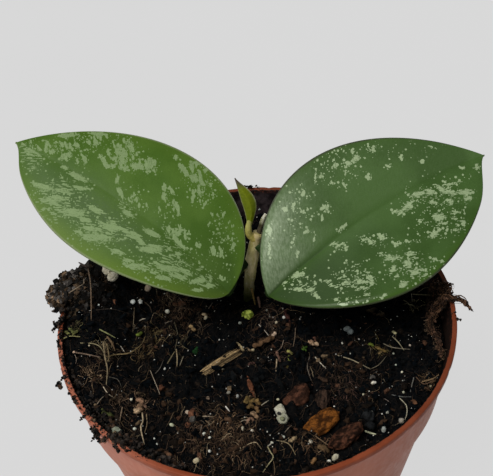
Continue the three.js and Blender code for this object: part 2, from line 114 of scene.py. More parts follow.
# Painted sheen at a base: place and spread along the blade, and across it where it starts to fade, where
# it has faded, and where it reaches its strength; and the faint painted sheen of that whole half
BASE_SHEEN = (0.11, 0.15)
BASE_SHEEN_FADE = (0.78, 0.78 + 1 / 6)
BASE_SHEEN_RISE = 0.125
UPPER_SHEEN = 0.03
# Each leaf: where its blade starts and how it turns; upper and lower outline as width, swell, taper,
# skew and narrowing of the tip; and for its material the vein angles, margin, rib, painted shade at the
# base and spots of painted sheen and highlight as amount, then place and spread along the blade and across
# it
LEAVES = {
    "leaf_left": {
        "side": -1,
        "base": (-5.4, -3, 78.9),
        "length": 58.5,
        "incline": math.radians(39.5),
        "bend": 0.4,
        "turn": -0.24,
        "fold": 0.2,
        "groove": 0.05,
        "upper": (18.25, 0.6, 0.91, -0.05, 0),
        "lower": (14.6, 0.49, 0.8, 0.88, 0.65),
        "petiole": [(-0.8, 8, 77.4), (-2.4, 7.4, 76.4), (-4.2, 4, 76.4), (-5, 0, 77.6)],
        "vein_angles": (52, 27),
        "margin_mm": 2.6,
        "rib_span": (0.42, 0.95, 0.45),
        "base_shade": 0.42,
        "shade_reach": (0.8, 0.2),
        "rim_share": 0.6,
        # Painted sheen on the lower half of the blade
        "sheen": [(0.8, 0.5, 0.36, -0.38, 0.34)],
        "base_sheen": 0.0,
    },
    "leaf_right": {
        "side": 1,
        "base": (3.1, -3, 77.1),
        "length": 57.7,
        "incline": math.radians(28.8),
        "bend": 0.37,
        "turn": -0.069,
        "fold": 0.45,
        "groove": 0.12,
        "upper": (17.4, 0.79, 0.96, -0.17, 0),
        "lower": (18.75, 0.715, 0.645, -0.07, 0.8),
        "petiole": [(1.7, 7.4, 83), (2.9, 6.3, 81.4), (3.6, 3, 78.8), (3.4, 0, 77)],
        "vein_angles": (58, 30),
        "margin_mm": 1.4,
        "rib_span": (-0.1, 0.34, 0.9),
        "base_shade": 0.45,
        "shade_reach": (0.1, 0.34),
        "rim_share": 0.7,
        # Painted sheen on the upper half, a painted bright streak near the upper margin by the base, and a
        # painted glint along the lower margin
        "sheen": [
            (0.24, 0.2, 0.12, 0.85, 0.25), (0.2, 0.12, 0.08, 0.86, 0.05), (1.1, 0.17, 0.12, -0.935, 0.022),
        ],
        "base_sheen": 0.43,
    },
}


# Numbers and vectors


def unit(vector):
    return vector / np.linalg.norm(vector, axis=-1, keepdims=True)


def peak(x, centre, spread):
    """A bell of height 1 at its centre."""
    return np.exp(-(((x - centre) / spread) ** 2))


def ramp(x, start, end):
    """Goes from 0 at start to 1 at end and no further; start may be the larger."""
    return np.clip((x - start) / (end - start), 0, 1)


def blend(share, first, second):
    """The first where the share is 0, the second where it is 1."""
    return (1 - share) * np.array(first) + share * np.array(second)


def in_ellipse(dx, dy, half_long, half_short, degrees):
    """Squared distance from the centre of a turned ellipse: 1 on its outline."""
    cosine, sine = math.cos(math.radians(degrees)), math.sin(math.radians(degrees))
    return ((dx * cosine + dy * sine) / half_long) ** 2 + ((dy * cosine - dx * sine) / half_short) ** 2


def full_turn(count):
    return np.linspace(0, 2 * math.pi, count, endpoint=False)


def about_axis(radius, turn, height):
    """Points round the pot's upright axis."""
    x, y = radius * np.cos(turn), radius * np.sin(turn)
    return np.stack([x, y, np.broadcast_to(height, x.shape)], -1)


def rotations(axis, angles):
    """Rotation matrices (count, 3, 3) about axis 0, 1 or 2."""
    angles = np.atleast_1d(angles)
    first, second = (axis + 1) % 3, (axis + 2) % 3
    made = np.zeros((len(angles), 3, 3))
    made[:, axis, axis] = 1
    made[:, first, first] = made[:, second, second] = np.cos(angles)
    made[:, second, first] = np.sin(angles)
    made[:, first, second] = -np.sin(angles)
    return made


# Camera


def camera_axes():
    """Camera position in millimetres, and its right, up and forward directions."""
    back = np.array([0, -math.cos(CAMERA_ELEVATION), math.sin(CAMERA_ELEVATION)])
    centre = back * CAMERA_DISTANCE + np.array([0, 0, POT_HEIGHT])
    level = np.array([1.0, 0, 0])
    forward = unit(-back + level * math.tan(CAMERA_PAN) + np.cross(level, -back) * math.tan(CAMERA_TILT))
    right = unit(np.cross(forward, np.cross(level, -back)))
    up = np.cross(right, forward)
    cosine, sine = math.cos(CAMERA_ROLL), math.sin(CAMERA_ROLL)
    return centre, cosine * right + sine * up, cosine * up - sine * right, forward


EYE, RIGHT, UP, FORWARD = camera_axes()


def make_camera():
    data = bpy.data.cameras.new("camera")
    data.sensor_width = SENSOR_MM
    data.lens = FOCAL_PIXELS * SENSOR_MM / PHOTO_WIDTH
    data.clip_start, data.clip_end = 0.01, 20
    camera = bpy.data.objects.new("camera", data)
    bpy.context.scene.collection.objects.link(camera)
    rotation = Matrix(np.array([RIGHT, UP, -FORWARD]).T.tolist()).to_4x4()
    camera.matrix_world = Matrix.Translation((EYE * MM).tolist()) @ rotation
    bpy.context.scene.camera = camera


make_camera()


def pixels(points):
    """Where points in millimetres fall in the photograph's frame."""
    offset = points - EYE
    depth = offset @ FORWARD
    across = PHOTO_WIDTH / 2 + FOCAL_PIXELS * (offset @ RIGHT) / depth
    down = PHOTO_HEIGHT / 2 - FOCAL_PIXELS * (offset @ UP) / depth
    return np.stack([across, down], -1)


def at_height(pixel, height):
    """The point at a height that a pixel of the photograph shows."""
    across = (pixel[0] - PHOTO_WIDTH / 2) / FOCAL_PIXELS
    down = (pixel[1] - PHOTO_HEIGHT / 2) / FOCAL_PIXELS
    ray = across * RIGHT - down * UP + FORWARD
    return EYE + ray * (height - EYE[2]) / ray[2]


# Noise

LATTICE_SIZE = 32
LATTICE = np.random.default_rng(5).random((LATTICE_SIZE,) * 3) * 2 - 1
# The generator behind the chips' outlines, the same as in the solids
SEED_STEP = 7919
DRAW_FACTOR = 16807
DRAW_MODULUS = 2147483647


def fuzz(points, size, octaves=1, offset=0.0):
    """Smooth noise from about -1 to 1, with features of a size in millimetres."""
    total, amount = np.zeros(len(points)), 1.0
    for octave in range(octaves):
        scaled = points * (2**octave / size) + offset + 7.3 * octave + 100
        cell = np.floor(scaled).astype(int)
        part = scaled - cell
        part = part * part * (3 - 2 * part)
        value = np.zeros(len(points))
        for corner in range(8):
            step = np.array([corner & 1, corner >> 1 & 1, corner >> 2 & 1])
            index = (cell + step) % LATTICE_SIZE
            weight = np.prod(np.where(step, part, 1 - part), axis=1)
            value += weight * LATTICE[index[:, 0], index[:, 1], index[:, 2]]
        total += amount * value
        amount *= 0.5
    return total


def draws(seed):
    """The same repeatable draws as the solids use."""
    state = seed * SEED_STEP
    while True:
        state = (state * DRAW_FACTOR) % DRAW_MODULUS
        yield state / DRAW_MODULUS


# Meshes


def spread(rows, points):
    """A row for each point, from one row for all, one for each equal lump or one for each point."""
    rows = np.atleast_2d(rows)
    return np.repeat(rows, len(points) // len(rows), axis=0)


def make_piece(name, points, faces, material, smooth=True, values=None, colours=None):
    """A piece of the object from points in millimetres, with values and colours for its material."""
    mesh = bpy.data.meshes.new(name)
    mesh.from_pydata((np.asarray(points) * MM).tolist(), [], [list(map(int, face)) for face in faces])
    mesh.polygons.foreach_set("use_smooth", [smooth] * len(mesh.polygons))
    for key, data in (values or {}).items():
        data = np.asarray(data, np.float32)
        kind, field = ("FLOAT", "value") if data.ndim == 1 else ("FLOAT_VECTOR", "vector")
        mesh.attributes.new(key, kind, "POINT").data.foreach_set(field, data.ravel())
    if colours is not None:
        rgba = np.ones((len(points), 4), np.float32)
        rgba[:, :3] = spread(colours, points)
        mesh.attributes.new("tone", "FLOAT_COLOR", "POINT").data.foreach_set("color", rgba.ravel())
    mesh.materials.append(material)
    mesh.validate()
    piece = bpy.data.objects.new(name, mesh)
    bpy.context.scene.collection.objects.link(piece)
    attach(piece, "root")
    return piece


def grid_faces(rows, columns, closed=False):
    """Quads over a grid of points; closed joins the last column to the first."""
    row, column = np.meshgrid(np.arange(rows - 1), np.arange(columns - (not closed)), indexing="ij")
    after = (column + 1) % columns
    corners = [row * columns + column, (row + 1) * columns + column]
    corners += [(row + 1) * columns + after, row * columns + after]
    return np.stack([c.ravel() for c in corners], 1)


def closed_loft(rings):
    """Points and faces of a closed skin over an array of rings (rings, around, 3)."""
    count, around = rings.shape[:2]
    points = np.concatenate([rings.reshape(-1, 3), rings[0].mean(0)[None], rings[-1].mean(0)[None]])
    faces = [tuple(face) for face in grid_faces(count, around, True)]
    first, last = count * around, count * around + 1
    for k in range(around):
        after = (k + 1) % around
        faces.append((first, k, after))
        faces.append((last, (count - 1) * around + after, (count - 1) * around + k))
    return points, faces


def distances(line):
    """How far along a line each of its points lies."""
    return np.concatenate([[0], np.cumsum(np.linalg.norm(np.diff(line, axis=0), axis=1))])


def along_line(values, count):
    """Values given evenly along a line, read at count places."""
    return np.interp(np.linspace(0, 1, count), np.linspace(0, 1, len(values)), values)


def smooth_line(points, count):
    """A Catmull-Rom curve through points, sampled evenly along its length."""
    points = np.asarray(points, float)
    ends = np.concatenate([[2 * points[0] - points[1]], points, [2 * points[-1] - points[-2]]])
    t = np.linspace(0, 1, 16, endpoint=False)[:, None]
    parts = []
    for a, b, c, d in zip(ends, ends[1:], ends[2:], ends[3:]):
        turn = 2 * a - 5 * b + 4 * c - d
        parts.append(0.5 * (2 * b + (c - a) * t + turn * t**2 + (3 * b - a - 3 * c + d) * t**3))
    fine = np.concatenate([*parts, points[-1:]])
    reach = distances(fine)
    wanted = np.linspace(0, reach[-1], count)
    return np.stack([np.interp(wanted, reach, fine[:, axis]) for axis in range(3)], 1)


# A direction that hardly any line follows, which keeps the rings of a tube from twisting
TUBE_SIDE = (0.31, 0.2, 0.93)


def tube_rings(lines, radii, around, flat=1.0, side=TUBE_SIDE):
    """Rings round one line or many, with a radius for each ring; flat squeezes them."""
    along = unit(np.gradient(lines, axis=-2))
    across = unit(np.cross(along, np.asarray(side)))[..., None, :]
    lift = np.cross(across, along[..., None, :])
    turn = full_turn(around)[:, None]
    ring = np.cos(turn) * across + flat * np.sin(turn) * lift
    return lines[..., None, :] + ring * radii[..., None, None]


def tube(line, radii, around, **form):
    """Points and faces of a closed tube, its radii given evenly along the line."""
    return closed_loft(tube_rings(line, along_line(radii, len(line)), around, **form))


def bumpy(points, line, amount, size, offset=0.0):
    """Points pushed off their line by noise."""
    nearest = line[np.argmin(((points[:, None] - line[None]) ** 2).sum(2), 1)]
    away = unit(points - nearest + 1e-9)
    return points + away * (amount * fuzz(points, size, 3, offset))[:, None]


def joined(parts):
    """Points and faces of several (points, faces) as one mesh."""
    points, faces, start = [], [], 0
    for part_points, part_faces in parts:
        points.append(part_points)
        faces.extend(tuple(int(i) + start for i in face) for face in part_faces)
        start += len(part_points)
    return np.concatenate(points), faces


def make_joined(name, parts, tones, material, smooth=True):
    """One piece from several (points, faces), each with its colours."""
    points, faces = joined(parts)
    colours = [spread(tone, part_points) for tone, (part_points, _) in zip(tones, parts)]
    return make_piece(name, points, faces, material, smooth, colours=np.concatenate(colours))


def copies(faces, count, size):
    """Faces of count equal meshes that have size points each."""
    return (faces[None] + (np.arange(count) * size)[:, None, None]).reshape(-1, 3)


# Materials


class Shader:
    """A node material with one Principled shader, and short calls to build on it."""

    def __init__(self, name, **values):
        self.material = bpy.data.materials.new(name)
        self.material.use_nodes = True
        self.nodes, self.links = self.material.node_tree.nodes, self.material.node_tree.links
        self.shader = self.nodes["Principled BSDF"]
        for key, value in values.items():
            self.shader.inputs[key.replace("_", " ")].default_value = value

    def node(self, kind, inputs, **options):
        made = self.nodes.new(kind)
        for key, value in options.items():
            setattr(made, key, value)
        for key, value in inputs.items():
            if isinstance(value, bpy.types.NodeSocket):
                self.links.new(value, made.inputs[key])
            else:
                made.inputs[key].default_value = value
        return made

    def attribute(self, name, output="Fac"):
        return self.node("ShaderNodeAttribute", {}, attribute_name=name).outputs[output]

    def tone(self):
        return self.attribute("tone", "Color")

    def stretched(self, where, sizes):
        return self.node("ShaderNodeVectorMath", {0: where, 1: sizes}, operation="MULTIPLY").outputs[0]

    def place(self, scale=(1, 1, 1)):
        """Object coordinates in millimetres, stretched by scale."""
        where = self.node("ShaderNodeTexCoord", {}).outputs["Object"]
        return self.stretched(where, tuple(s / MM for s in scale))

    def noise(self, where, scale, detail=3.0, roughness=0.55):
        inputs = {"Vector": where, "Scale": scale, "Detail": detail, "Roughness": roughness}
        return self.node("ShaderNodeTexNoise", inputs).outputs["Fac"]

    def cells(self, where, scale):
        return self.node("ShaderNodeTexVoronoi", {"Vector": where, "Scale": scale}).outputs[0]

    def math(self, operation, a, b):
        return self.node("ShaderNodeMath", {0: a, 1: b}, operation=operation).outputs[0]

    def add(self, a, b):
        return self.math("ADD", a, b)

    def times(self, a, b):
        return self.math("MULTIPLY", a, b)

    def span(self, value, low, high, to_low=0.0, to_high=1.0):
        """Maps low..high smoothly to to_low..to_high."""
        inputs = {0: value, 1: low, 2: high, 3: to_low, 4: to_high}
        return self.node("ShaderNodeMapRange", inputs, interpolation_type="SMOOTHSTEP").outputs[0]

    def mix(self, share, a, b, kind="MIX"):
        a, b = ((*c, 1) if isinstance(c, tuple) else c for c in (a, b))
        inputs = {0: share, 6: a, 7: b}
        return self.node("ShaderNodeMix", inputs, data_type="RGBA", blend_type=kind).outputs[2]

    def tint(self, a, b):
        return self.mix(1.0, a, b, "MULTIPLY")

    def bump(self, height, distance_mm, strength):
        inputs = {"Height": height, "Distance": distance_mm * MM, "Strength": strength}
        return self.node("ShaderNodeBump", inputs).outputs["Normal"]

    def set(self, **sockets):
        for key, value in sockets.items():
            self.links.new(value, self.shader.inputs[key.replace("_", " ")])
        return self.material


# Dots of silver on a leaf, large and small: cells and patches per millimetre, the dots' reach, and
# how strong a patch has to be before they show
LEAF_DOTS = ((0.75, 0.25, 0.13, 0.62, 0.74), (1.6, 0.4, 0.14, 0.74, 0.90))
LEAF_SHADE = (0.010, 0.020, 0.006)


def leaf_material(
    name, deep, light, fleck, margin, sheen, rim, rib, gloss, stretch, solid, spray, spread_to, scatter,
):
    """Waxy green leaf with painted sheen and shade: silver flecks follow the veins where the splash value
    asks for them.
    """
    s = Shader(name, Roughness=0.5, Specular_IOR_Level=gloss)
    flow, splash, painted_sheen = s.attribute("flow", "Vector"), s.attribute("splash"), s.attribute("painted_sheen")
    where = s.place()
    coarse = s.times(s.noise(flow, 1.3, 3.0, 0.6), 0.45)
    fine = s.times(s.noise(flow, 3.4, 3.0, 0.65), 0.55)
    silver = s.span(s.add(s.add(coarse, fine), splash), solid, solid + 0.035)
    silver = s.times(silver, s.span(s.noise(flow, 4.6, 2.0), 0.36, 0.42))
    grown = s.add(splash, s.times(s.noise(where, 0.45, 2.0), 0.5))
    flecks = s.cells(s.stretched(flow, (1, stretch, 1)), 1.3)
    bare = s.math("SUBTRACT", flecks, s.span(grown, spray, 0.94, *spread_to))
    silver = s.math("MAXIMUM", silver, s.span(bare, 0.04, -0.03))
    for cells, patches, reach, none, all_of_them in LEAF_DOTS:
        dots = s.math("SUBTRACT", s.cells(where, cells), s.times(splash, 0.3))
        patch = s.add(s.noise(where, patches, 2.0), s.add(splash, scatter))
        dots = s.times(s.span(dots, reach, 0.07), s.span(patch, none, all_of_them))
        silver = s.math("MAXIMUM", silver, dots)
    silver = s.times(silver, s.attribute("front"))
    green = s.mix(s.span(s.noise(where, 0.09, 3.0), 0.35, 0.65), deep, light)
    streaks = s.span(s.noise(flow, 2.6, 3.0), 0.3, 0.7, 0.62, 1.3)
    # Painted sheen over the green, streaked along the veins; then the margin, painted shade at the base,
    # and the midrib's line, which on the right leaf is painted shade in its crease
    green = s.mix(s.times(painted_sheen, streaks), green, sheen)
    green = s.mix(s.attribute("edge"), green, margin)
    green = s.mix(s.attribute("shade"), green, LEAF_SHADE)
    green = s.mix(s.times(s.attribute("rib"), 0.5), green, rib)
    # The flecks' own colour, lightened by painted sheen where it lies over them
    worn = s.mix(s.span(s.noise(where, 3.0, 3.0), 0.35, 0.65), tuple(0.86 * c for c in fleck), fleck)
    worn = s.mix(painted_sheen, worn, tuple(max(f, 1.4 * h) for f, h in zip(fleck, sheen)))
    # The rim: pale on the left leaf as a painted lit edge, dark on the right leaf
    colour = s.mix(s.attribute("rim"), s.mix(silver, green, worn), rim)
    speckle = s.mix(s.span(s.noise(where, 5.0, 4.0), 0.3, 0.7), (0.9, 0.9, 0.9), (1.08, 1.08, 1.08))
    relief = s.add(s.noise(where, 1.7, 4.0), s.times(s.noise(flow, 0.9, 2.0), 0.6))
    rough = s.span(silver, 0, 1, 0.48, 0.6)
    return s.set(Base_Color=s.tint(colour, speckle), Roughness=rough, Normal=s.bump(relief, 0.08, 0.3))


def plastic_material():
    """Terracotta nursery plastic: with dust and painted shade, more saturated on the lip, with fine
    moulding streaks.
    """
    s = Shader("pot_plastic", Roughness=0.5, Specular_IOR_Level=0.10)
    where = s.place()
    mottle = s.span(s.noise(where, 0.16, 4.0), 0.3, 0.7)
    colour = s.mix(mottle, (0.44, 0.148, 0.088), (0.51, 0.180, 0.114))
    streaks = s.noise(s.place((1, 1, 0.05)), 0.9, 3.0)
    colour = s.mix(s.span(streaks, 0.4, 0.75, 0.0, 0.25), colour, (0.56, 0.25, 0.17))
    # The lip's own more saturated colour, made darker than the collar as painted shade
    lip = s.mix(mottle, (0.225, 0.048, 0.018), (0.28, 0.064, 0.026))
    colour = s.mix(s.attribute("lip"), colour, lip)
    colour = s.mix(s.attribute("shade"), colour, (0.020, 0.010, 0.006))
    # Grime, and inside the pot painted shade, darken the plastic to near black
    grime_and_shade = s.add(s.noise(where, 1.6, 6.0, 0.7), s.times(s.attribute("dust_and_shade"), 0.32))
    colour = s.mix(s.span(grime_and_shade, 0.66, 0.80), colour, (0.016, 0.010, 0.008))
    damp = s.span(s.noise(where, 0.5, 5.0, 0.65), 0.35, 0.68)
    film = s.mix(damp, (0.010, 0.0075, 0.008), (0.052, 0.038, 0.040))
    colour = s.mix(s.attribute("film"), colour, film)
    rough = s.span(s.noise(where, 0.7, 4.0), 0.3, 0.7, 0.40, 0.55)
    fine = s.add(s.noise(where, 2.4, 5.0), s.times(streaks, 0.5))
    return s.set(Base_Color=colour, Roughness=rough, Normal=s.bump(fine, 0.05, 0.3))


def soil_material():
    """Damp near-black mix for the bed under the crumbs."""
    s = Shader("soil", Roughness=0.95, Specular_IOR_Level=0.04)
    where = s.place()
    grain = s.noise(where, 1.3, 6.0, 0.7)
    colour = s.mix(s.span(grain, 0.35, 0.7), (0.0012, 0.0020, 0.0028), (0.008, 0.0068, 0.006))
    specks = s.span(s.cells(where, 2.2), 0.12, 0.05)
    colour = s.mix(s.times(specks, 0.3), colour, (0.09, 0.065, 0.042))
    relief = s.add(grain, s.times(s.cells(where, 1.6), 0.5))
    return s.set(Base_Color=colour, Normal=s.bump(relief, 0.5, 0.9))


def toned_material(name, roughness, specular=0.05, grain_scale=2.4, grain_mm=0.12):
    """Loose pieces that carry a colour of their own, with grain over it."""
    s = Shader(name, Roughness=roughness, Specular_IOR_Level=specular)
    grain = s.noise(s.place(), grain_scale, 5.0, 0.65)
    shade = s.mix(s.span(grain, 0.3, 0.7), (0.5, 0.5, 0.5), (1.38, 1.38, 1.38))
    return s.set(Base_Color=s.tint(s.tone(), shade), Normal=s.bump(grain, grain_mm, 0.7))


def perlite_material():
    """Chalky grains with pits."""
    s = Shader("perlite", Roughness=0.85, Specular_IOR_Level=0.3)
    where = s.place()
    pits = s.cells(where, 2.6)
    colour = s.mix(s.span(s.noise(where, 1.1, 4.0), 0.35, 0.7), (0.60, 0.58, 0.50), (0.80, 0.79, 0.74))
    colour = s.mix(s.span(pits, 0.3, 0.05), colour, (0.38, 0.34, 0.28))
    return s.set(Base_Color=s.tint(colour, s.tone()), Normal=s.bump(pits, 0.2, 0.8))


def stem_material():
    """Olive stem with a grey-brown corky skin and small pale pores."""
    s = Shader("stem", Roughness=0.7, Specular_IOR_Level=0.15)
    where = s.place()
    cork = s.noise(s.place((1, 1, 0.25)), 1.0, 5.0, 0.6)
    colour = s.mix(s.span(cork, 0.35, 0.65), (0.34, 0.30, 0.10), (0.60, 0.51, 0.28))
    pale = s.span(s.noise(where, 1.5, 4.0), 0.55, 0.72)
    colour = s.mix(s.times(pale, 0.7), colour, (0.66, 0.62, 0.48))
    pores = s.span(s.cells(s.place((1, 1, 0.6)), 1.3), 0.13, 0.04)
    colour = s.mix(s.times(pores, 0.6), colour, (0.55, 0.50, 0.38))
    relief = s.add(cork, s.times(s.noise(where, 4.0, 4.0), 0.4))
    return s.set(Base_Color=s.tint(colour, s.tone()), Normal=s.bump(relief, 0.12, 0.7))


def tender_material():
    """Young growth: waxy, with its colour kept on its points."""
    s = Shader("young_leaf", Roughness=0.5, Specular_IOR_Level=0.15)
    where = s.place()
    shade = s.mix(s.span(s.noise(where, 1.4, 4.0), 0.3, 0.7), (0.82, 0.84, 0.8), (1.12, 1.1, 1.1))
    return s.set(Base_Color=s.tint(s.tone(), shade), Normal=s.bump(s.noise(where, 3.0, 4.0), 0.05, 0.5))


# Leaves


def half_width(s, half):
    """Width of one half of a blade at shares s of its length."""
    width, swell, taper, skew, tip = half

    def form(x):
        return x**swell * (1 - x) ** taper * (1 + skew * (x - 0.5))

    return width * form(s) * (1 - tip * peak(s, 1, TIP_SPAN)) / form(np.linspace(0, 1, 201)).max()


def leaf_rows(leaf, rows):
    """Midrib points and their upward and facing directions, from the base to the tip."""
    face = np.array([0, -math.sin(LEAF_LEAN), math.cos(LEAF_LEAN)])
    climb = np.array([0, math.cos(LEAF_LEAN), math.sin(LEAF_LEAN)])
    axis = np.array([leaf["side"], 0, 0]) * math.cos(leaf["incline"]) + climb * math.sin(leaf["incline"])
    across = np.cross(face, axis) * leaf["side"]
    s = np.sin(np.linspace(0, math.pi / 2, rows)) ** 2
    bend, arch = leaf["bend"] * (0.5 - s), LEAF_ARCH * (0.5 - s)
    tangent = np.outer(np.cos(bend) * np.cos(arch), axis)
    tangent += np.outer(np.sin(bend) * np.cos(arch), across) + np.outer(np.sin(arch), face)
    steps = (tangent[1:] + tangent[:-1]) / 2 * (leaf["length"] * np.diff(s))[:, None]
    line = np.array(leaf["base"]) + np.concatenate([np.zeros((1, 3)), np.cumsum(steps, 0)])
    up = unit(across - tangent * (tangent @ across)[:, None])
    out = np.cross(tangent, up)
    out *= np.sign(out @ face)[:, None]
    cosine, sine = math.cos(leaf["turn"]), math.sin(leaf["turn"])
    return s, line, cosine * up + sine * out, cosine * out - sine * up


def blade(leaf, splashes, drizzle):
    """Ring after ring round the blade, with the values its material reads at each point."""
    rows, half = LEAF_GRID
    s, line, up, out = (part[1:-1] for part in leaf_rows(leaf, rows + 2))
    v = np.linspace(-1, 1, 2 * half + 1)
    lower, upper = (half_width(s, leaf[key])[:, None] for key in ("lower", "upper"))
    widths = np.where(v < 0, lower, upper)
    reach = np.maximum(widths - EDGE_ROUND, 0.1) * np.abs(v)
    middle = (leaf["fold"] * (1 - s) ** 2 + LEAF_CREASE)[:, None] - LEAF_CUP * np.abs(v)[None] / 2
    sideways = np.sign(v) * reach * np.cos(middle)
    outward = reach * np.sin(middle)
    outward -= leaf["groove"] * peak(reach, 0, GROOVE_WIDTH) * (1 - s[:, None]) ** 0.5
    front = line[:, None] + up[:, None] * sideways[..., None] + out[:, None] * outward[..., None]
    ripple = LEAF_RIPPLE * fuzz(front.reshape(-1, 3), 7, 2).reshape(reach.shape) * (1 - v**4)
    front += out[:, None] * ripple[..., None]
    rib = MIDRIB_RIDGE * peak(reach, 0, MIDRIB_WIDTH) * (1 - s[:, None])
    thick = BLADE_MIDDLE + (BLADE_EDGE - BLADE_MIDDLE) * v**2 + rib
    back = front - out[:, None] * thick[..., None]
    edges = []
    for edge, beside in ((-1, -2), (0, 1)):
        away = unit(front[:, edge] - front[:, beside])
        edges.append(((front[:, edge] + back[:, edge]) / 2 + away * EDGE_ROUND)[:, None])
    points, faces = closed_loft(np.concatenate([front, edges[0], back[:, ::-1], edges[1]], 1))

    where = pixels(front.reshape(-1, 3)).reshape(*reach.shape, 2)
    splash = splash_value(where, splashes, drizzle)
    values = blade_values(leaf, s, v, distances(line), reach, widths)
    values["splash"] = round_blade(splash, 0.0)
    values["front"] = round_blade(np.ones_like(splash), 0.0)
    return points, faces, values


def blade_values(leaf, s, v, along, reach, widths):
    """How the veins flow, and where margin, painted sheen, midrib, painted shade and rim show."""
    angle = np.radians(np.where(v < 0, leaf["vein_angles"][1], leaf["vein_angles"][0]))
    vein = along[:, None] - reach / np.tan(angle) + VEIN_CURVE * reach**2
    run = reach / np.sin(angle)
    half = np.broadcast_to(np.where(v < 0, HALF_SHIFT, 0.0), run.shape)
    flow = (vein / VEIN_SPACING, run / FLECK_LENGTH, half)
    from_edge = widths * (1 - np.abs(v))
    edge = peak(from_edge, 0, leaf["margin_mm"]) * np.where(v < 0, 0.85, 0.25)
    edge = edge * ramp(s[:, None], 1, 2 / 3)
    rib_low, rib_high, rib_strength = leaf["rib_span"]
    shown = ramp(s, rib_low, rib_low + RIB_FADE) * ramp(s, rib_high, rib_high - RIB_FADE)
    rib = rib_strength * peak(reach, 0, RIB_LINE) * shown[:, None]
    shaded_to, shade_reach = leaf["shade_reach"]
    shade = leaf["base_shade"] * peak(s, 0, shade_reach)[:, None] * ramp(v, shaded_to, shaded_to - 1 / 3)
    rim = ramp(np.abs(v), RIM_START, 1) * np.full((len(s), 1), leaf["rim_share"])
    return {
        "flow": np.stack([round_blade(part) for part in flow], 1),
        "edge": round_blade(edge, 0.6, 0.45),
        "painted_sheen": round_blade(painted_leaf_sheen(leaf, s, v), 0.0),
        "rib": round_blade(rib, 0.0),
        "shade": round_blade(shade, 0.0),
        "rim": round_blade(rim, leaf["rim_share"]),
    }


def round_blade(front, edge=None, behind=0.0):
    """Values of the front carried round its two edges, the back and the closed ends."""
    right, left = (front[:, -1:], front[:, :1]) if edge is None else [np.full((len(front), 1), edge)] * 2
    whole = np.concatenate([front, right, np.full(front.shape, behind), left], 1).ravel()
    return np.concatenate([whole, [whole[0], whole[-1]]])


def painted_leaf_sheen(leaf, s, v):
    """Where painted sheen lies on the blade: its spots, and the upper half of its base."""
    s, v = s[:, None], v[None]
    painted_sheen = np.zeros((len(s), v.size))
    for amount, place, length, side, width in leaf["sheen"]:
        painted_sheen += amount * peak(s, place, length) * peak(v, side, width)
    if leaf["base_sheen"]:
        base = leaf["base_sheen"] * peak(s, *BASE_SHEEN) * (0.5 + 0.5 * v)
        base = base * (1 - 0.5 * ramp(v, *BASE_SHEEN_FADE))
        painted_sheen += ramp(v, 0, BASE_SHEEN_RISE) * (base + UPPER_SHEEN)
    return np.clip(painted_sheen, 0, 1)


def splash_value(where, splashes, drizzle):
    """Splash strength: listed blotches, and softer regions of scattered flecks."""
    x, y = where[..., 0], where[..., 1]
    strength = np.zeros(x.shape)
    for centre_x, centre_y, long, short, degrees in splashes:
        far = in_ellipse(x - centre_x, y - centre_y, long, short, degrees)
        heart = BLOTCH_PEAK + NARROW_PEAK * math.exp(-short / 2)
        strength = np.maximum(strength, heart - BLOTCH_FALL * far)
    for centre_x, centre_y, wide, high, amount in drizzle:
        far = in_ellipse(x - centre_x, y - centre_y, wide, high, 0)
        strength = np.maximum(strength, (amount + DRIZZLE_LIFT) * np.exp(-(far**2)))
    return strength


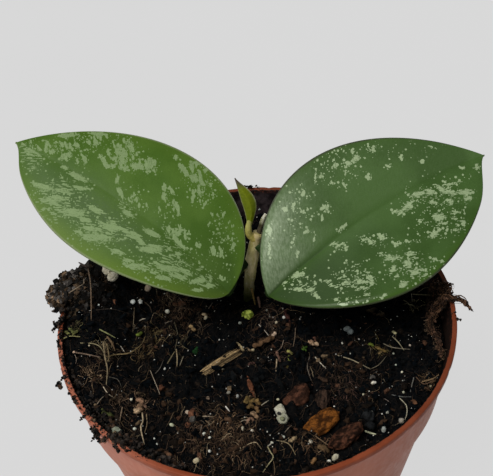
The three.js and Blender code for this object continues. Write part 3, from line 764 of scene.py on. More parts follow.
# Blotches of each leaf as they show in the photograph: x, y, half length, half width, turn in degrees.
# Drizzle is a region of scattered flecks: x, y, half width, half height, strength
LEFT_SPLASHES = [
    (150.5, 165, 7, 6, -60), (137, 166.5, 6.5, 3.5, -10), (130, 146, 7, 3.8, 60), (118, 149, 5.5, 3.4, 80),
    (122, 158, 7, 3.2, 70), (123.5, 168, 4, 3, 0), (115, 158, 3, 2.4, 0), (111.5, 166, 3.2, 2.2, 0),
    (103.5, 161, 5.5, 2.2, 60), (109, 153, 4, 1.6, 80), (95.5, 143.5, 5, 1.4, 80), (66, 156, 7, 3.4, -20),
    (85, 159.5, 4, 1.9, 85), (77.5, 161, 3.2, 1.3, 85), (117, 179.5, 4, 1.8, 110),
    (175.5, 157.5, 2.5, 2.2, 0), (183.5, 170, 8, 2.4, 60), (191.5, 165, 4, 2.2, 100),
    (193, 177, 4.4, 2.5, 80), (200, 175.5, 5, 2, 80), (198, 163.5, 2.4, 1.6, 0), (165, 188, 3.5, 2.2, 80),
    (164, 195, 3.2, 1.9, 90), (172, 191, 4.8, 1.6, 60), (175.5, 204, 4.8, 2.2, 80),
    (120, 191.5, 4.8, 2, 60), (132.5, 197, 3.2, 1.3, 90), (199, 190, 5.6, 1.6, 100),
    (193, 197, 5.6, 1.3, 95), (205.5, 202.5, 4.8, 1.3, -50), (178.5, 212, 3.2, 1.3, 90),
    (212, 214.5, 2, 1.4, 90), (217.5, 215, 2, 1.4, 90), (223, 213.5, 2, 1.4, 90), (209, 224, 2.9, 1.3, -60),
    (171.5, 232, 8.4, 4.6, 40), (180, 230.5, 3.6, 1.6, 85), (185.5, 236.5, 3.4, 1.3, 85),
    (179.5, 244, 6, 1.7, 42), (152, 233, 9, 2.2, 28), (151.5, 249, 12, 4.4, 2), (134, 236, 7.4, 2.8, 18),
    (142, 243, 5, 2, 25), (198.5, 245.5, 3.2, 2.2, -20), (213, 250.5, 5, 2.7, 88),
    (233, 247, 4.5, 1.3, -60), (221.5, 253.5, 4, 1.4, 88), (211, 240.5, 1.8, 1.3, 0),
    (96, 237.5, 13.5, 4.2, 2), (111.5, 226.5, 13, 2.6, 14), (72, 212, 14, 4.6, 8),
    (97.5, 210.5, 8, 2.6, 24), (51, 201, 7, 3, 30), (57, 197, 11, 1.4, 8), (43, 186.5, 10.5, 2.2, 14),
    (61, 190.5, 5.6, 2, 10), (78, 177, 10.5, 2.3, 26), (64, 167.5, 3.4, 1.9, 10), (80, 188, 9, 1.6, 8),
    (127.5, 213.5, 6.5, 1.9, 30), (117, 252, 7.5, 1.9, 20), (135.5, 266, 11, 3, 5),
    (127.5, 260, 6.5, 1.4, 10), (169, 268.5, 13.5, 2.9, 12), (186.5, 272.5, 6.5, 1.9, 20),
    (177, 276, 9.5, 1.9, 12), (162.5, 277.5, 8, 2.2, 15), (198.5, 280.5, 8, 2.2, -8),
    (209, 285.5, 5, 1.6, 0), (198, 290, 5, 1.5, 5), (178.5, 254, 3.6, 1.6, 0), (91, 229, 8, 1.6, 10),
    (84.5, 220, 6.5, 1.9, 12), (79.5, 232.5, 5, 1.5, 10), (24, 144.5, 2.6, 1.1, 25),
    (31, 150, 4.5, 0.9, 30), (37.5, 154, 4, 0.9, 34), (30, 154.5, 4, 0.9, 18), (40, 149, 3, 0.9, 36),
    (26, 149.5, 2.4, 0.8, 15), (68.5, 135, 10, 2.2, -5), (99, 134, 7, 1.6, 3), (47, 143, 3, 1.6, 60),
    (75, 144.5, 2.8, 1.5, 70), (62, 144, 2.4, 1.4, 60),
]
LEFT_DRIZZLE = [
    (62, 148, 42, 14, 0.42), (128, 156, 24, 20, 0.42), (60, 200, 34, 32, 0.42), (105, 232, 42, 24, 0.43),
    (172, 266, 48, 22, 0.42), (202, 184, 22, 26, 0.42), (224, 240, 18, 34, 0.38), (170, 205, 16, 22, 0.38),
    (132, 203, 22, 18, 0.4), (205, 280, 30, 12, 0.4), (32, 156, 18, 22, 0.43), (90, 139, 52, 9, 0.41),
    (175, 240, 26, 16, 0.4),
]
RIGHT_SPLASHES = [
    (398, 211.5, 7, 2.4, 5), (408, 207, 10.5, 4, -40), (418, 194, 7, 3.2, -10), (429.5, 192, 7, 3.6, 0),
    (448, 192, 10, 3.4, 14), (439.5, 187, 7, 1.9, 28), (465, 192, 8, 3, 0), (468, 198, 5, 1.9, 0),
    (449.5, 200.5, 6, 1.9, 5), (433, 202, 5, 1.9, 0), (451.5, 184, 8.4, 1.2, -8),
    (439.5, 217.5, 6.6, 3.8, 0), (443, 222.5, 6.6, 1.6, 5), (456.5, 212, 6.8, 1.5, -10),
    (463, 222.5, 3, 3.6, 0), (455, 219, 3.4, 1.9, 0), (456.5, 230, 5, 1.3, 0), (433, 235, 6, 3.2, -20),
    (438, 230, 5, 1.6, -45), (396, 243.5, 3.6, 2, 0), (408, 241.5, 4.2, 1.6, 0), (417, 241, 3.4, 1.7, 0),
    (419.5, 221, 2.4, 1.4, 0), (381, 236.5, 5, 1.6, 28), (367.5, 240, 6, 1.6, 10),
    (372.5, 244, 3.4, 1.6, 0), (381, 254, 3, 2, 0), (388.5, 257.5, 6, 3.3, 5), (398, 257.5, 6, 1.6, -3),
    (410.5, 254, 4.8, 2.4, -20), (416, 257.5, 2.6, 1.7, 0), (408, 263.5, 5.4, 4.2, -40),
    (393.5, 267.5, 6, 2.3, -60), (413, 273.5, 3.8, 3, 0), (419.5, 270, 6.8, 1.4, 0),
    (425.5, 275, 3.4, 2.3, -45), (397, 276, 2.4, 2, 0), (403, 284.5, 4.8, 3.2, -20),
    (434.5, 259.5, 3.4, 1.7, 0), (441.5, 261, 2.6, 2, 0), (359, 281, 6.5, 2.4, 10),
    (369, 277.5, 4, 2.4, 20), (372.5, 283, 2.6, 2.4, 0), (364, 288, 4.5, 1.5, 10),
    (347.5, 283, 4.2, 2.7, 30), (366.5, 294.5, 3.4, 2, 0), (357.5, 290, 2.4, 1.4, 0),
    (327.5, 281, 5, 1.7, 5), (331.5, 285.5, 3.4, 1.4, 10), (337, 287, 2, 1.7, 0), (297, 289.5, 6, 1.8, 4),
    (310.5, 290, 6, 3.2, 0), (316.5, 296, 5, 1.9, 35), (297, 275, 7.4, 3, -25), (302.5, 275, 2.6, 3, 0),
    (284.5, 282.5, 2.4, 1.3, -20), (340.5, 244.5, 5, 1.5, -20), (346, 248, 2.4, 2.6, 0),
    (332.5, 244, 5, 1.1, -30), (325, 208.5, 5.4, 5.4, 0), (322, 217.5, 2.4, 4.2, 0),
    (303, 193.5, 3.4, 4, 0), (285.5, 209, 3, 3.3, 0), (293.5, 207.5, 1.7, 5, 0),
    (342.5, 227.5, 4.6, 3, -45), (306.5, 231.5, 4.2, 2, -15), (314, 237.5, 1.6, 5, 5),
    (293, 241, 1.6, 6, 8), (297, 253.5, 2, 3.8, 0), (316, 177, 2, 6.6, 2), (322, 176.5, 2.4, 3, 0),
    (314, 194, 1.2, 4.2, 5), (335.5, 166, 4, 3.4, 0), (346.5, 172, 2.5, 1.7, 0), (356.5, 157, 5, 4.2, 0),
    (351.5, 162, 3, 2.4, 0), (352.5, 152, 1.8, 2.4, 0), (346, 162, 1.8, 3, 0), (367.5, 148, 2, 4.2, 0),
    (373.5, 149.5, 3, 3.4, 0), (369, 176, 3.4, 4, 0), (422.5, 161.5, 2.7, 2.8, 0), (401, 158, 2.4, 3.4, 0),
    (403, 152, 1.4, 2, 0), (388.5, 166.5, 2.4, 1.7, 0), (429.5, 146, 1.7, 1.1, 0),
    (344, 185.5, 4.2, 1.3, 50), (332, 183, 3, 2, 0), (477.5, 168, 2.6, 3.4, 0), (462.5, 168, 2.6, 1.7, 0),
    (269, 231, 2.6, 7, 0), (269.5, 249, 1.6, 8, 0), (335.5, 299.5, 2, 1.4, 0), (344, 304.5, 4.2, 1.7, 0),
    (384, 296, 5, 1.4, -35),
]
RIGHT_DRIZZLE = [
    (338, 165, 30, 26, 0.4), (298, 210, 22, 36, 0.38), (435, 200, 44, 22, 0.42), (438, 228, 38, 18, 0.4),
    (380, 240, 26, 10, 0.4), (408, 268, 38, 22, 0.42), (352, 278, 30, 22, 0.44), (304, 286, 26, 16, 0.4),
    (340, 248, 14, 10, 0.4), (450, 178, 26, 8, 0.38), (360, 300, 50, 6, 0.36), (400, 150, 60, 14, 0.24),
]


def make_leaf(name, material, splashes, drizzle):
    leaf = LEAVES[name]
    points, faces, values = blade(leaf, splashes, drizzle)
    _, line, _, out = leaf_rows(leaf, MIDRIB_ROWS)
    ends = [line[k] - out[k] * PETIOLE_SINK for k in PETIOLE_ENDS]
    rings, around = PETIOLE_GRID
    stalk, stalk_faces = tube(smooth_line([*leaf["petiole"], *ends], rings), PETIOLE_RADII, around)
    points, faces = joined([(points, faces), (stalk, stalk_faces)])
    for key, data in values.items():
        rest = np.full((len(stalk), *data.shape[1:]), PETIOLE_SHADE if key == "shade" else 0.0)
        values[key] = np.concatenate([data, rest])
    piece = make_piece(name + "_blade", points, faces, material, values=values)
    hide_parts(name)


# Pot

POT_SEGMENTS = 240
# Longest step of the moulded wall, and how far its corners are rounded
WALL_STEP = 3
CORNER = 0.25
# How deep under the outside, and under the top of the lip, a point still belongs to it
SKIN = 0.4
TOP_SKIN = 0.3
# Small nicks round the lip: where they are, half width in radians and depth
TICK_DEGREES = (-26, -49, -68, -4, 17, 38, 60, 83, 104, 127, 149, 170, 193, 214, 236, 258, 277)
TICK_WIDTH = 0.010
TICK_DEPTH = 0.40
TICK_SIDE_DEPTH = 0.25


def pot_profile():
    """Outline of the moulded wall as (radius, height), from the underside's centre round."""
    lip_inner = LIP_RADIUS - LIP_WIDTH
    under_lip = POT_HEIGHT - LIP_DEPTH
    corners = [
        (CENTRE_DISC_RADIUS, 0), (CENTRE_DISC_RADIUS + 1, CHANNEL_HEIGHT),
        (FOOT_RING_INNER - 1, CHANNEL_HEIGHT), (FOOT_RING_INNER, 0), (BASE_RADIUS, 0),
        (BODY_TOP_RADIUS, BODY_TOP), (COLLAR_FOOT_RADIUS, COLLAR_FOOT), (COLLAR_TOP_RADIUS, under_lip),
        (LIP_RADIUS, under_lip + 0.2), (LIP_RADIUS, POT_HEIGHT), (lip_inner, POT_HEIGHT),
        (lip_inner, under_lip), (COLLAR_FOOT_RADIUS - WALL, COLLAR_FOOT - WALL / 2),
        (BODY_TOP_RADIUS - WALL, BODY_TOP - WALL / 2), (BASE_RADIUS - WALL, FLOOR),
        (FOOT_RING_INNER, FLOOR), (FOOT_RING_INNER - 1, CHANNEL_HEIGHT + FLOOR),
        (CENTRE_DISC_RADIUS + 1, CHANNEL_HEIGHT + FLOOR), (CENTRE_DISC_RADIUS, FLOOR),
    ]
    rounded = []
    for before, corner, after in zip([(0, 0), *corners], corners, [*corners[1:], (0, FLOOR)]):
        corner = np.array(corner, float)
        for toward in (before, after):
            edge = np.array(toward, float) - corner
            rounded.append(corner + edge * min(0.3, CORNER / np.linalg.norm(edge)))
        rounded.insert(-1, rounded[-2] * 0.25 + rounded[-1] * 0.25 + corner * 0.5)
    profile = []
    for low, high in zip(rounded, rounded[1:]):
        steps = max(1, int(np.linalg.norm(high - low) / WALL_STEP))
        profile.extend(low + (high - low) * k / steps for k in range(steps))
    return np.array([*profile, rounded[-1]])


def rim_wave(turn, height):
    """How far the thin collar is out of round."""
    wave = 0.10 * np.sin(3 * turn + 0.6) + 0.06 * np.sin(7 * turn)
    return wave * ramp(height, BODY_TOP, POT_HEIGHT)


def make_pot(material):
    profile = pot_profile()
    turn = full_turn(POT_SEGMENTS)
    radius, height = (np.repeat(part[:, None], POT_SEGMENTS, 1) for part in profile.T)
    radius += rim_wave(turn, height)
    on_top = height > POT_HEIGHT - TOP_SKIN
    for degrees in TICK_DEGREES:
        cut = peak(np.angle(np.exp(1j * (turn - math.radians(degrees)))), 0, TICK_WIDTH)[None]
        height -= TICK_DEPTH * cut * on_top
        outer = (height > POT_HEIGHT - LIP_DEPTH) * (radius > LIP_RADIUS - SKIN)
        radius -= TICK_SIDE_DEPTH * cut * outer
    points, faces = closed_loft(about_axis(radius, turn, height))
    pot = make_piece("nursery_pot", points, faces, material, values=pot_values(points))
    cut_drains(pot)
    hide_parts("pot")


def pot_values(points):
    """Where the plastic has dust and painted shade, is saturated as on the lip, lies in painted shade, or
    is filmed with damp mix.
    """
    x, y, z = points.T
    depth = POT_HEIGHT - z
    plain = np.hypot(x, y) - rim_wave(np.arctan2(y, x), z)
    heights = [0, BODY_TOP, COLLAR_FOOT, POT_HEIGHT - 2]
    radii = [BASE_RADIUS - SKIN, BODY_TOP_RADIUS - SKIN, COLLAR_FOOT_RADIUS - SKIN, COLLAR_TOP_RADIUS - 0.1]
    inside = plain < np.interp(z, heights, radii)
    rim, behind = ramp(depth, 6, 0), ramp(y, 0, 20)
    # Dust on the rim, and painted shade over the inside of the pot
    dust_and_shade = 0.55 * rim * ramp(-x, 0, LIP_RADIUS) ** 2 + 0.95 * inside + 0.12 * rim
    # The lip, its darker colour partly painted shade, blending toward the collar at the front left
    lip = ramp(depth, LIP_DEPTH + 0.3, LIP_DEPTH) * (1 - 0.6 * ramp(-x, 18, 32) * (y < 0))
    deep = ramp(depth, 1.2, 3.2) * inside * (1 - 0.45 * ramp(y, 0, 40))
    film = ramp(depth, 0.5, 1) * inside * behind
    shade = np.clip(0.36 * ramp(x, 4, 36) + 0.9 * deep, 0, 1)
    shade = np.maximum(shade * (1 - film), 0.45 * behind * lip)
    return {"dust_and_shade": np.clip(dust_and_shade, 0, 1), "lip": lip, "shade": shade, "film": film}


def cut_drains(pot):
    """Round holes through the channel of the base."""
    parts = []
    for hole in range(DRAIN_COUNT):
        turn = 2 * math.pi * (hole + 0.5) / DRAIN_COUNT
        centre = np.array([DRAIN_RING * math.cos(turn), DRAIN_RING * math.sin(turn), 0])
        line = centre + np.array([[0, 0, -1.0], [0, 0, 4.0]])
        parts.append(tube(line, (DRAIN_RADIUS, DRAIN_RADIUS), 24, side=(1, 0, 0)))
    points, faces = joined(parts)
    cutter = bpy.data.objects.new("drill", bpy.data.meshes.new("drill"))
    cutter.data.from_pydata((points * MM).tolist(), [], faces)
    bpy.context.scene.collection.objects.link(cutter)
    modifier = pot.modifiers.new("drains", "BOOLEAN")
    modifier.operation, modifier.object, modifier.solver = "DIFFERENCE", cutter, "EXACT"
    bpy.context.view_layer.objects.active = pot
    bpy.context.view_layer.update()
    with bpy.context.temp_override(object=pot, active_object=pot, selected_objects=[pot]):
        bpy.ops.object.modifier_apply(modifier=modifier.name)
    bpy.data.objects.remove(cutter)


# Soil

SOIL_LEVEL = 60
# Rises of the mix: height, centre and spread of the low mound, the front ridge, the foot of the stem,
# the heap at the left and its tail along the rim
SOIL_RISES = (
    (4.2, -4, -8, 20, 20), (2.6, 0, -32, 26, 12), (1.3, -1, 8, 8, 8), (6.6, -37, 8, 7, 12),
    (3.6, -41, -12, 7, 16),
)
# Rings and points of the bed, how far out it meets the wall, the gap it keeps there, and how large its
# innermost ring is, as a share of the outermost
BED_GRID = (74, 264)
BED_EDGE = 43
BED_GAP = 0.12
BED_HOLE = 0.012
BED_SIDE_HEIGHTS = (CHANNEL_HEIGHT + FLOOR + 0.3, 30.0, BODY_TOP - 1.0, COLLAR_FOOT + 1.0)
# Height and size of the bed's clods and of its finer bumps
CLODS = (0.75, 3.2)
BUMPS = (0.35, 1.1)
# How far above the mix's level, and in how many steps, the point is sought that a line of sight meets
SIGHT_START = 4
SIGHT_STEPS = 14


def soil_height(x, y):
    """Height of the mix, without its fine roughness."""
    height = SOIL_LEVEL
    for rise, centre_x, centre_y, spread_x, spread_y in SOIL_RISES:
        far = ((x - centre_x) / spread_x) ** 2 + ((y - centre_y) / spread_y) ** 2
        height = height + rise * np.exp(-far / 2)
    clods = 0.7 * np.sin(0.83 * x + 0.4 * y) * np.sin(0.9 * y - 0.35 * x + 1)
    lumps = 0.5 * np.sin(1.7 * x - 0.9 * y + 2) * np.sin(1.5 * y + 0.8 * x)
    return height + clods + lumps


def wall_radius(height):
    """Inner radius of the pot at a height."""
    heights = [FLOOR, BODY_TOP - WALL / 2, COLLAR_FOOT - WALL / 2, POT_HEIGHT - LIP_DEPTH, POT_HEIGHT]
    inner = [BASE_RADIUS - WALL, BODY_TOP_RADIUS - WALL, COLLAR_FOOT_RADIUS - WALL]
    inner += [LIP_RADIUS - LIP_WIDTH, LIP_RADIUS - LIP_WIDTH]
    return np.interp(height, heights, inner)


def rough_soil(x, y):
    """The bed's surface with its clods and bumps."""
    flat = np.stack([np.ravel(x), np.ravel(y), np.zeros(np.size(x))], 1)
    rough = CLODS[0] * fuzz(flat, CLODS[1], 3) + BUMPS[0] * fuzz(flat, BUMPS[1], 2, 3.0)
    return soil_height(x, y) + rough.reshape(np.shape(x))


def on_soil(pixel, lift=0.0):
    """The point on the mix that a pixel of the photograph shows."""
    height = SOIL_LEVEL + SIGHT_START
    for _ in range(SIGHT_STEPS):
        point = at_height(pixel, height)
        height = float(soil_height(point[0], point[1])) + lift
    return at_height(pixel, height)


def make_bed(material):
    rings, around = BED_GRID
    turn = full_turn(around)
    share = np.linspace(1, BED_HOLE, rings)[:, None]
    reach = wall_radius(soil_height(BED_EDGE * np.cos(turn), BED_EDGE * np.sin(turn)))[None] - BED_GAP
    x, y = share * reach * np.cos(turn), share * reach * np.sin(turn)
    top = np.stack([x, y, rough_soil(x, y)], -1)
    sides = [about_axis(wall_radius(height) - BED_GAP, turn, height) for height in BED_SIDE_HEIGHTS]
    points, faces = closed_loft(np.concatenate([np.array(sides), top]))
    bed = make_piece("soil_bed", points, faces, material)
    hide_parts("soil")


# Crumbs


def ball(level):
    """Points and triangles of an icosahedron, split level times and set on a unit sphere."""
    g = (1 + 5**0.5) / 2
    points = [(-1, g, 0), (1, g, 0), (-1, -g, 0), (1, -g, 0), (0, -1, g), (0, 1, g)]
    points += [(0, -1, -g), (0, 1, -g), (g, 0, -1), (g, 0, 1), (-g, 0, -1), (-g, 0, 1)]
    faces = [(0, 11, 5), (0, 5, 1), (0, 1, 7), (0, 7, 10), (0, 10, 11), (1, 5, 9), (5, 11, 4)]
    faces += [(11, 10, 2), (10, 7, 6), (7, 1, 8), (3, 9, 4), (3, 4, 2), (3, 2, 6), (3, 6, 8)]
    faces += [(3, 8, 9), (4, 9, 5), (2, 4, 11), (6, 2, 10), (8, 6, 7), (9, 8, 1)]
    points = [tuple(p / np.linalg.norm(p)) for p in np.array(points, float)]
    for _ in range(level):
        middle, split = {}, []

        def between(a, b):
            key = (min(a, b), max(a, b))
            if key not in middle:
                middle[key] = len(points)
                centre = np.array(points[a]) + np.array(points[b])
                points.append(tuple(centre / np.linalg.norm(centre)))
            return middle[key]

        for a, b, c in faces:
            ab, bc, ca = between(a, b), between(b, c), between(c, a)
            split += [(a, ab, ca), (b, bc, ab), (c, ca, bc), (ab, bc, ca)]
        faces = split
    return np.array(points), np.array(faces)


def turns(rng, count):
    """Random rotation matrices."""
    a, b, c = rng.random((3, count)) * 2 * math.pi
    return rotations(2, a) @ rotations(0, b) @ rotations(1, c)


DIAMOND = (
    np.array([(1, 0, 0), (-1, 0, 0), (0, 1, 0), (0, -1, 0), (0, 0, 1), (0, 0, -1.0)]),
    np.array([(0, 2, 4), (2, 1, 4), (1, 3, 4), (3, 0, 4), (2, 0, 5), (1, 2, 5), (3, 1, 5), (0, 3, 5)]),
)


def crumbs(rng, centres, sizes, stretch, roughness=0.45, form=None):
    """Points and faces of many small rough lumps."""
    shape, faces = form or ball(0)
    count = len(centres)
    swell = 1 + roughness * (rng.random((count, len(shape), 1)) - 0.5) * 2
    scaled = shape[None] * swell * stretch[:, None] * sizes[:, None, None]
    turned = np.einsum("nij,nkj->nki", turns(rng, count), scaled)
    return (turned + centres[:, None]).reshape(-1, 3), copies(faces, count, len(shape))


# Colours of crumbs from black to pale, and how many there are of each: a share, and more where it is brown
CRUMB_TONES = np.array([
    (0.0014, 0.0024, 0.0033), (0.0040, 0.0046, 0.0049), (0.013, 0.009, 0.0065), (0.034, 0.019, 0.011),
    (0.070, 0.034, 0.020), (0.19, 0.13, 0.075), (0.085, 0.078, 0.068),
])
CRUMB_SHARES = np.array([
    (2.42, -2.2), (0.8, 0), (0.2, 1.2), (0.02, 1.1), (0.005, 0.35), (0.006, 0.07), (0.012, 0),
])
PLAIN_BROWN = 0.09
# Where the mix is browner, as x, y and spread in the photograph, and how much
BROWN_PATCHES = [
    (236, 448, 32, 0.9), (226, 424, 18, 0.7), (184, 318, 22, 0.7), (172, 302, 14, 0.5),
    (345, 385, 30, 0.34), (372, 396, 20, 0.28), (144, 405, 24, 0.5), (92, 372, 15, 0.8),
    (112, 400, 12, 0.5), (272, 325, 22, 0.45), (120, 440, 20, 0.5), (66, 292, 18, 0.5), (438, 335, 12, 0.7),
    (318, 445, 26, 0.6), (192, 440, 26, 0.5), (428, 384, 12, 0.6), (154, 335, 14, 0.6), (143, 355, 12, 0.5),
    (106, 350, 12, 0.5), (74, 330, 9, 0.6), (330, 362, 14, 0.3), (250, 350, 14, 0.25), (350, 445, 16, 0.4),
    (108, 318, 20, -0.25), (150, 372, 14, -0.2), (180, 380, 16, -0.15), (236, 330, 14, -0.15),
    (420, 320, 22, -0.3), (392, 410, 12, -0.3), (360, 420, 14, -0.25), (296, 460, 9, -0.3),
    (128, 422, 10, -0.3), (84, 362, 7, -0.3), (330, 312, 20, -0.15), (210, 345, 14, -0.15),
    (276, 370, 12, -0.1), (400, 365, 14, -0.15), (84, 395, 8, -0.2),
]


def brownness(points):
    """How brown the mix is, from 0 to 1."""
    where = pixels(points)
    amount = np.full(len(points), PLAIN_BROWN)
    for x, y, reach, share in BROWN_PATCHES:
        far = ((where[:, 0] - x) ** 2 + (where[:, 1] - y) ** 2) / reach**2
        amount = amount + share * np.exp(-far)
    return np.clip(amount, 0, 1)


def crumb_tones(rng, points):
    """A colour for each crumb: mostly near black, browner in some patches."""
    share, more = CRUMB_SHARES.T
    weights = share + more * brownness(points)[:, None]
    limits = np.cumsum(weights / weights.sum(1, keepdims=True), 1)
    pick = (rng.random((len(points), 1)) > limits).sum(1)
    last = len(CRUMB_TONES) - 1
    return CRUMB_TONES[np.minimum(pick, last)] * (0.7 + 0.6 * rng.random((len(points), 1)))


# Loose mix on the bed: name, how many, shape, least size and how much larger, how rare the large ones
# are, and how far they are lifted
CRUMB_KINDS = (("crumbs", 5200, None, 0.18, 0.75, 3, 0), ("grit", 12500, DIAMOND, 0.08, 0.2, 2, 0.25))
# How far out crumbs lie, and fibres and specks, and how much room a chip is given
CRUMB_REACH = 42.6
INNER_REACH = 41.5
CHIP_ROOM = 1.1
# How flat a crumb is, how far it rises by its size, and how many times its size it needs to the wall
CRUMB_FLATNESS = 0.7
CRUMB_RISE = 0.25
WALL_SHARE = 1.6
LEAST_ROOM = 0.1


def scatter_on_bed(rng, count, reach):
    turn = 2 * math.pi * rng.random(count)
    points = about_axis(reach * np.sqrt(rng.random(count)), turn, 0.0)
    points[:, 2] = rough_soil(points[:, 0], points[:, 1])
    return points


def clear_of_chips(points):
    """True where a point lies outside the outline of every chip, with a little room."""
    free = np.ones(len(points), bool)
    for centre, size, yaw, *_ in CHIPS.values():
        dx, dy = points[:, 0] - centre[0], points[:, 1] - centre[1]
        free &= in_ellipse(dx, dy, size[0] / 2, size[1] / 2, yaw) > CHIP_ROOM**2
    return free


def make_crumbs(material):
    rng = np.random.default_rng(11)
    for name, count, form, least, more, rare, lift in CRUMB_KINDS:
        centres = scatter_on_bed(rng, count, CRUMB_REACH)
        centres = centres[clear_of_chips(centres)]
        count = len(centres)
        sizes = least + more * rng.random(count) ** rare
        if lift:
            centres[:, 2] += lift * rng.random(count)
        long, wide = 0.7 + 1.1 * rng.random(count), 0.6 + 0.5 * rng.random(count)
        stretch = np.stack([long, wide, np.full(count, CRUMB_FLATNESS)], 1)
        room = wall_radius(centres[:, 2]) - np.hypot(centres[:, 0], centres[:, 1])
        sizes = np.minimum(sizes, np.maximum(room, LEAST_ROOM) / WALL_SHARE)
        centres[:, 2] += CRUMB_RISE * sizes
        points, faces = crumbs(rng, centres, sizes, stretch, form=form)
        make_piece(name, points, faces, material, False, colours=crumb_tones(rng, centres))


# Heaps of mix over the left rim: centre and radii as in the solids, and how light each is
HEAPS = [
    ((-38.6, 10.5, 67.6), (6, 7.5, 3.6), 0.42),
    ((-42.5, 11.4, 70.2), (4.1, 4.4, 2.5), 1.3),
    ((-45.3, 9.5, 69.6), (2.4, 2.8, 1.6), 1.9),
    ((-36.8, 16, 68), (4.6, 4.8, 4.2), 0.55),
]
HEAP_CRUMBS = 1500
HEAP_CORE = (0.005, 0.0045, 0.004)
HEAP_WARM = (0.052, 0.034, 0.021)
HEAP_GREY = (0.034, 0.030, 0.027)
WARM_SHARE = 0.45
# How much of its radii the core of a heap fills, and how high and how large its knobs are
HEAP_FILL = 0.80
KNOB_HEIGHT = 0.24
KNOB_SIZE = 2.6
# Room between the lip and the mix on it
LIP_ROOM = 0.1
# How far mix that hangs over the lip may come down
OVERHANG = 2.6


def over_lip(points):
    """Lifts points that would lie in the lip, and those that hang beyond it, clear of it."""
    radius = np.hypot(points[:, 0], points[:, 1])
    beyond = radius >= LIP_RADIUS + LIP_ROOM
    on_lip = (radius > LIP_RADIUS - LIP_WIDTH - 2 * LIP_ROOM) & ~beyond
    points[:, 2] = np.where(on_lip, np.maximum(points[:, 2], POT_HEIGHT + LIP_ROOM / 2), points[:, 2])
    points[:, 2] = np.where(beyond, np.maximum(points[:, 2], POT_HEIGHT - OVERHANG), points[:, 2])
    return points


def make_heaps(material):
    """The mix that is heaped over the left rim: knobbly cores under a coat of crumbs."""
    rng = np.random.default_rng(23)
    shape, faces = ball(3)
    parts, tones = [], []
    for k, (centre, radii, light) in enumerate(HEAPS):
        points = shape * np.array(radii) * HEAP_FILL
        knobs = 1 + KNOB_HEIGHT * fuzz(points, KNOB_SIZE, 3, 2.0 * k) + 0.12 * fuzz(points, 0.9, 2, k)
        parts.append((over_lip(points * knobs[:, None] + np.array(centre)), faces))
        around = unit(rng.normal(0, 1, (HEAP_CRUMBS, 3)))
        around[:, 2] = np.abs(around[:, 2]) - 0.25
        knob = KNOB_HEIGHT * fuzz(around * np.array(radii) * 0.86, KNOB_SIZE, 3, 2.0 * k)
        swell = HEAP_FILL + 0.26 * rng.random((HEAP_CRUMBS, 1)) ** 1.5 + 1.1 * knob[:, None]
        coat = over_lip(around * np.array(radii) * swell + np.array(centre))
        sizes = 0.13 + 0.75 * rng.random(HEAP_CRUMBS) ** 4
        stretch = 0.75 + 0.5 * rng.random((HEAP_CRUMBS, 3))
        parts.append(crumbs(rng, coat, sizes, stretch, 0.5))
        shade = light * (0.2 + 2.8 * rng.random((HEAP_CRUMBS, 1)) ** 3)
        warm = np.where(rng.random((HEAP_CRUMBS, 1)) < WARM_SHARE, HEAP_WARM, HEAP_GREY)
        tones += [HEAP_CORE, warm * shade]
    heap = make_joined("heap", parts, tones, material, False)
    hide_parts("soil_heap")


# Clots of mix that hang over the lip: x, y and height of both ends, and half width in millimetres
CLOTS = [
    ((64, 309.5, 69.3), (52.5, 310.5, 69.3), 0.55), ((63, 317, 68.9), (50.5, 333.5, 68.3), 0.5),
    ((60, 322, 68.6), (54, 324, 68.6), 0.5), ((57, 341, 68.4), (60, 349, 68.4), 0.3),
    ((66, 376, 68.3), (63, 378, 68.2), 0.4), ((88, 412, 68.4), (80, 420.5, 67.6), 0.4),
    ((92, 414, 68.5), (86, 411, 68.5), 0.35), ((92, 427, 68.2), (101, 442, 67.0), 0.6),
    ((96, 431, 68.4), (93, 440, 67.4), 0.42), ((104, 437, 68.5), (104, 444, 67.4), 0.36),
    ((112, 440, 68.5), (118, 452, 67.2), 0.42), ((121, 445, 68.5), (128, 453, 67.3), 0.36),
    ((109, 436, 68.7), (124, 443, 68.6), 0.55), ((57.5, 384, 68.2), (61, 389, 68.2), 0.5),
    ((60, 381, 68.2), (60.5, 386, 68.2), 0.4), ((68.5, 393, 68), (70, 394, 68), 0.25),
    ((457, 319, 68.2), (461, 320, 68.0), 0.4), ((244, 186.5, 68.8), (253, 187, 68.9), 0.32),
    ((249, 186, 69.2), (251, 186, 69.3), 0.36), ((73, 398, 68.4), (77, 404, 68.4), 0.4),
    ((62, 356, 68.4), (64, 366, 68.4), 0.26), ((61, 330, 68.6), (60, 340, 68.5), 0.3),
]
# Runs of dirt on top of the lip: from and to in degrees round the pot, and how many crumbs
RIM_RUNS = [
    (158, 168, 120), (168, 178, 110), (178, 186, 18), (186, 196, 12), (196, 206, 12), (206, 216, 26),
    (216, 224, 60), (224, 232, 80), (232, 238, 14), (84, 94, 16), (100, 150, 36), (352, 366, 12),
]
# The bank of mix inside the left of the lip: from and to in degrees, and how many crumbs
BANK = (158, 246, 1300)
CLOT_DUST = np.array([(0.045, 0.034, 0.027)])


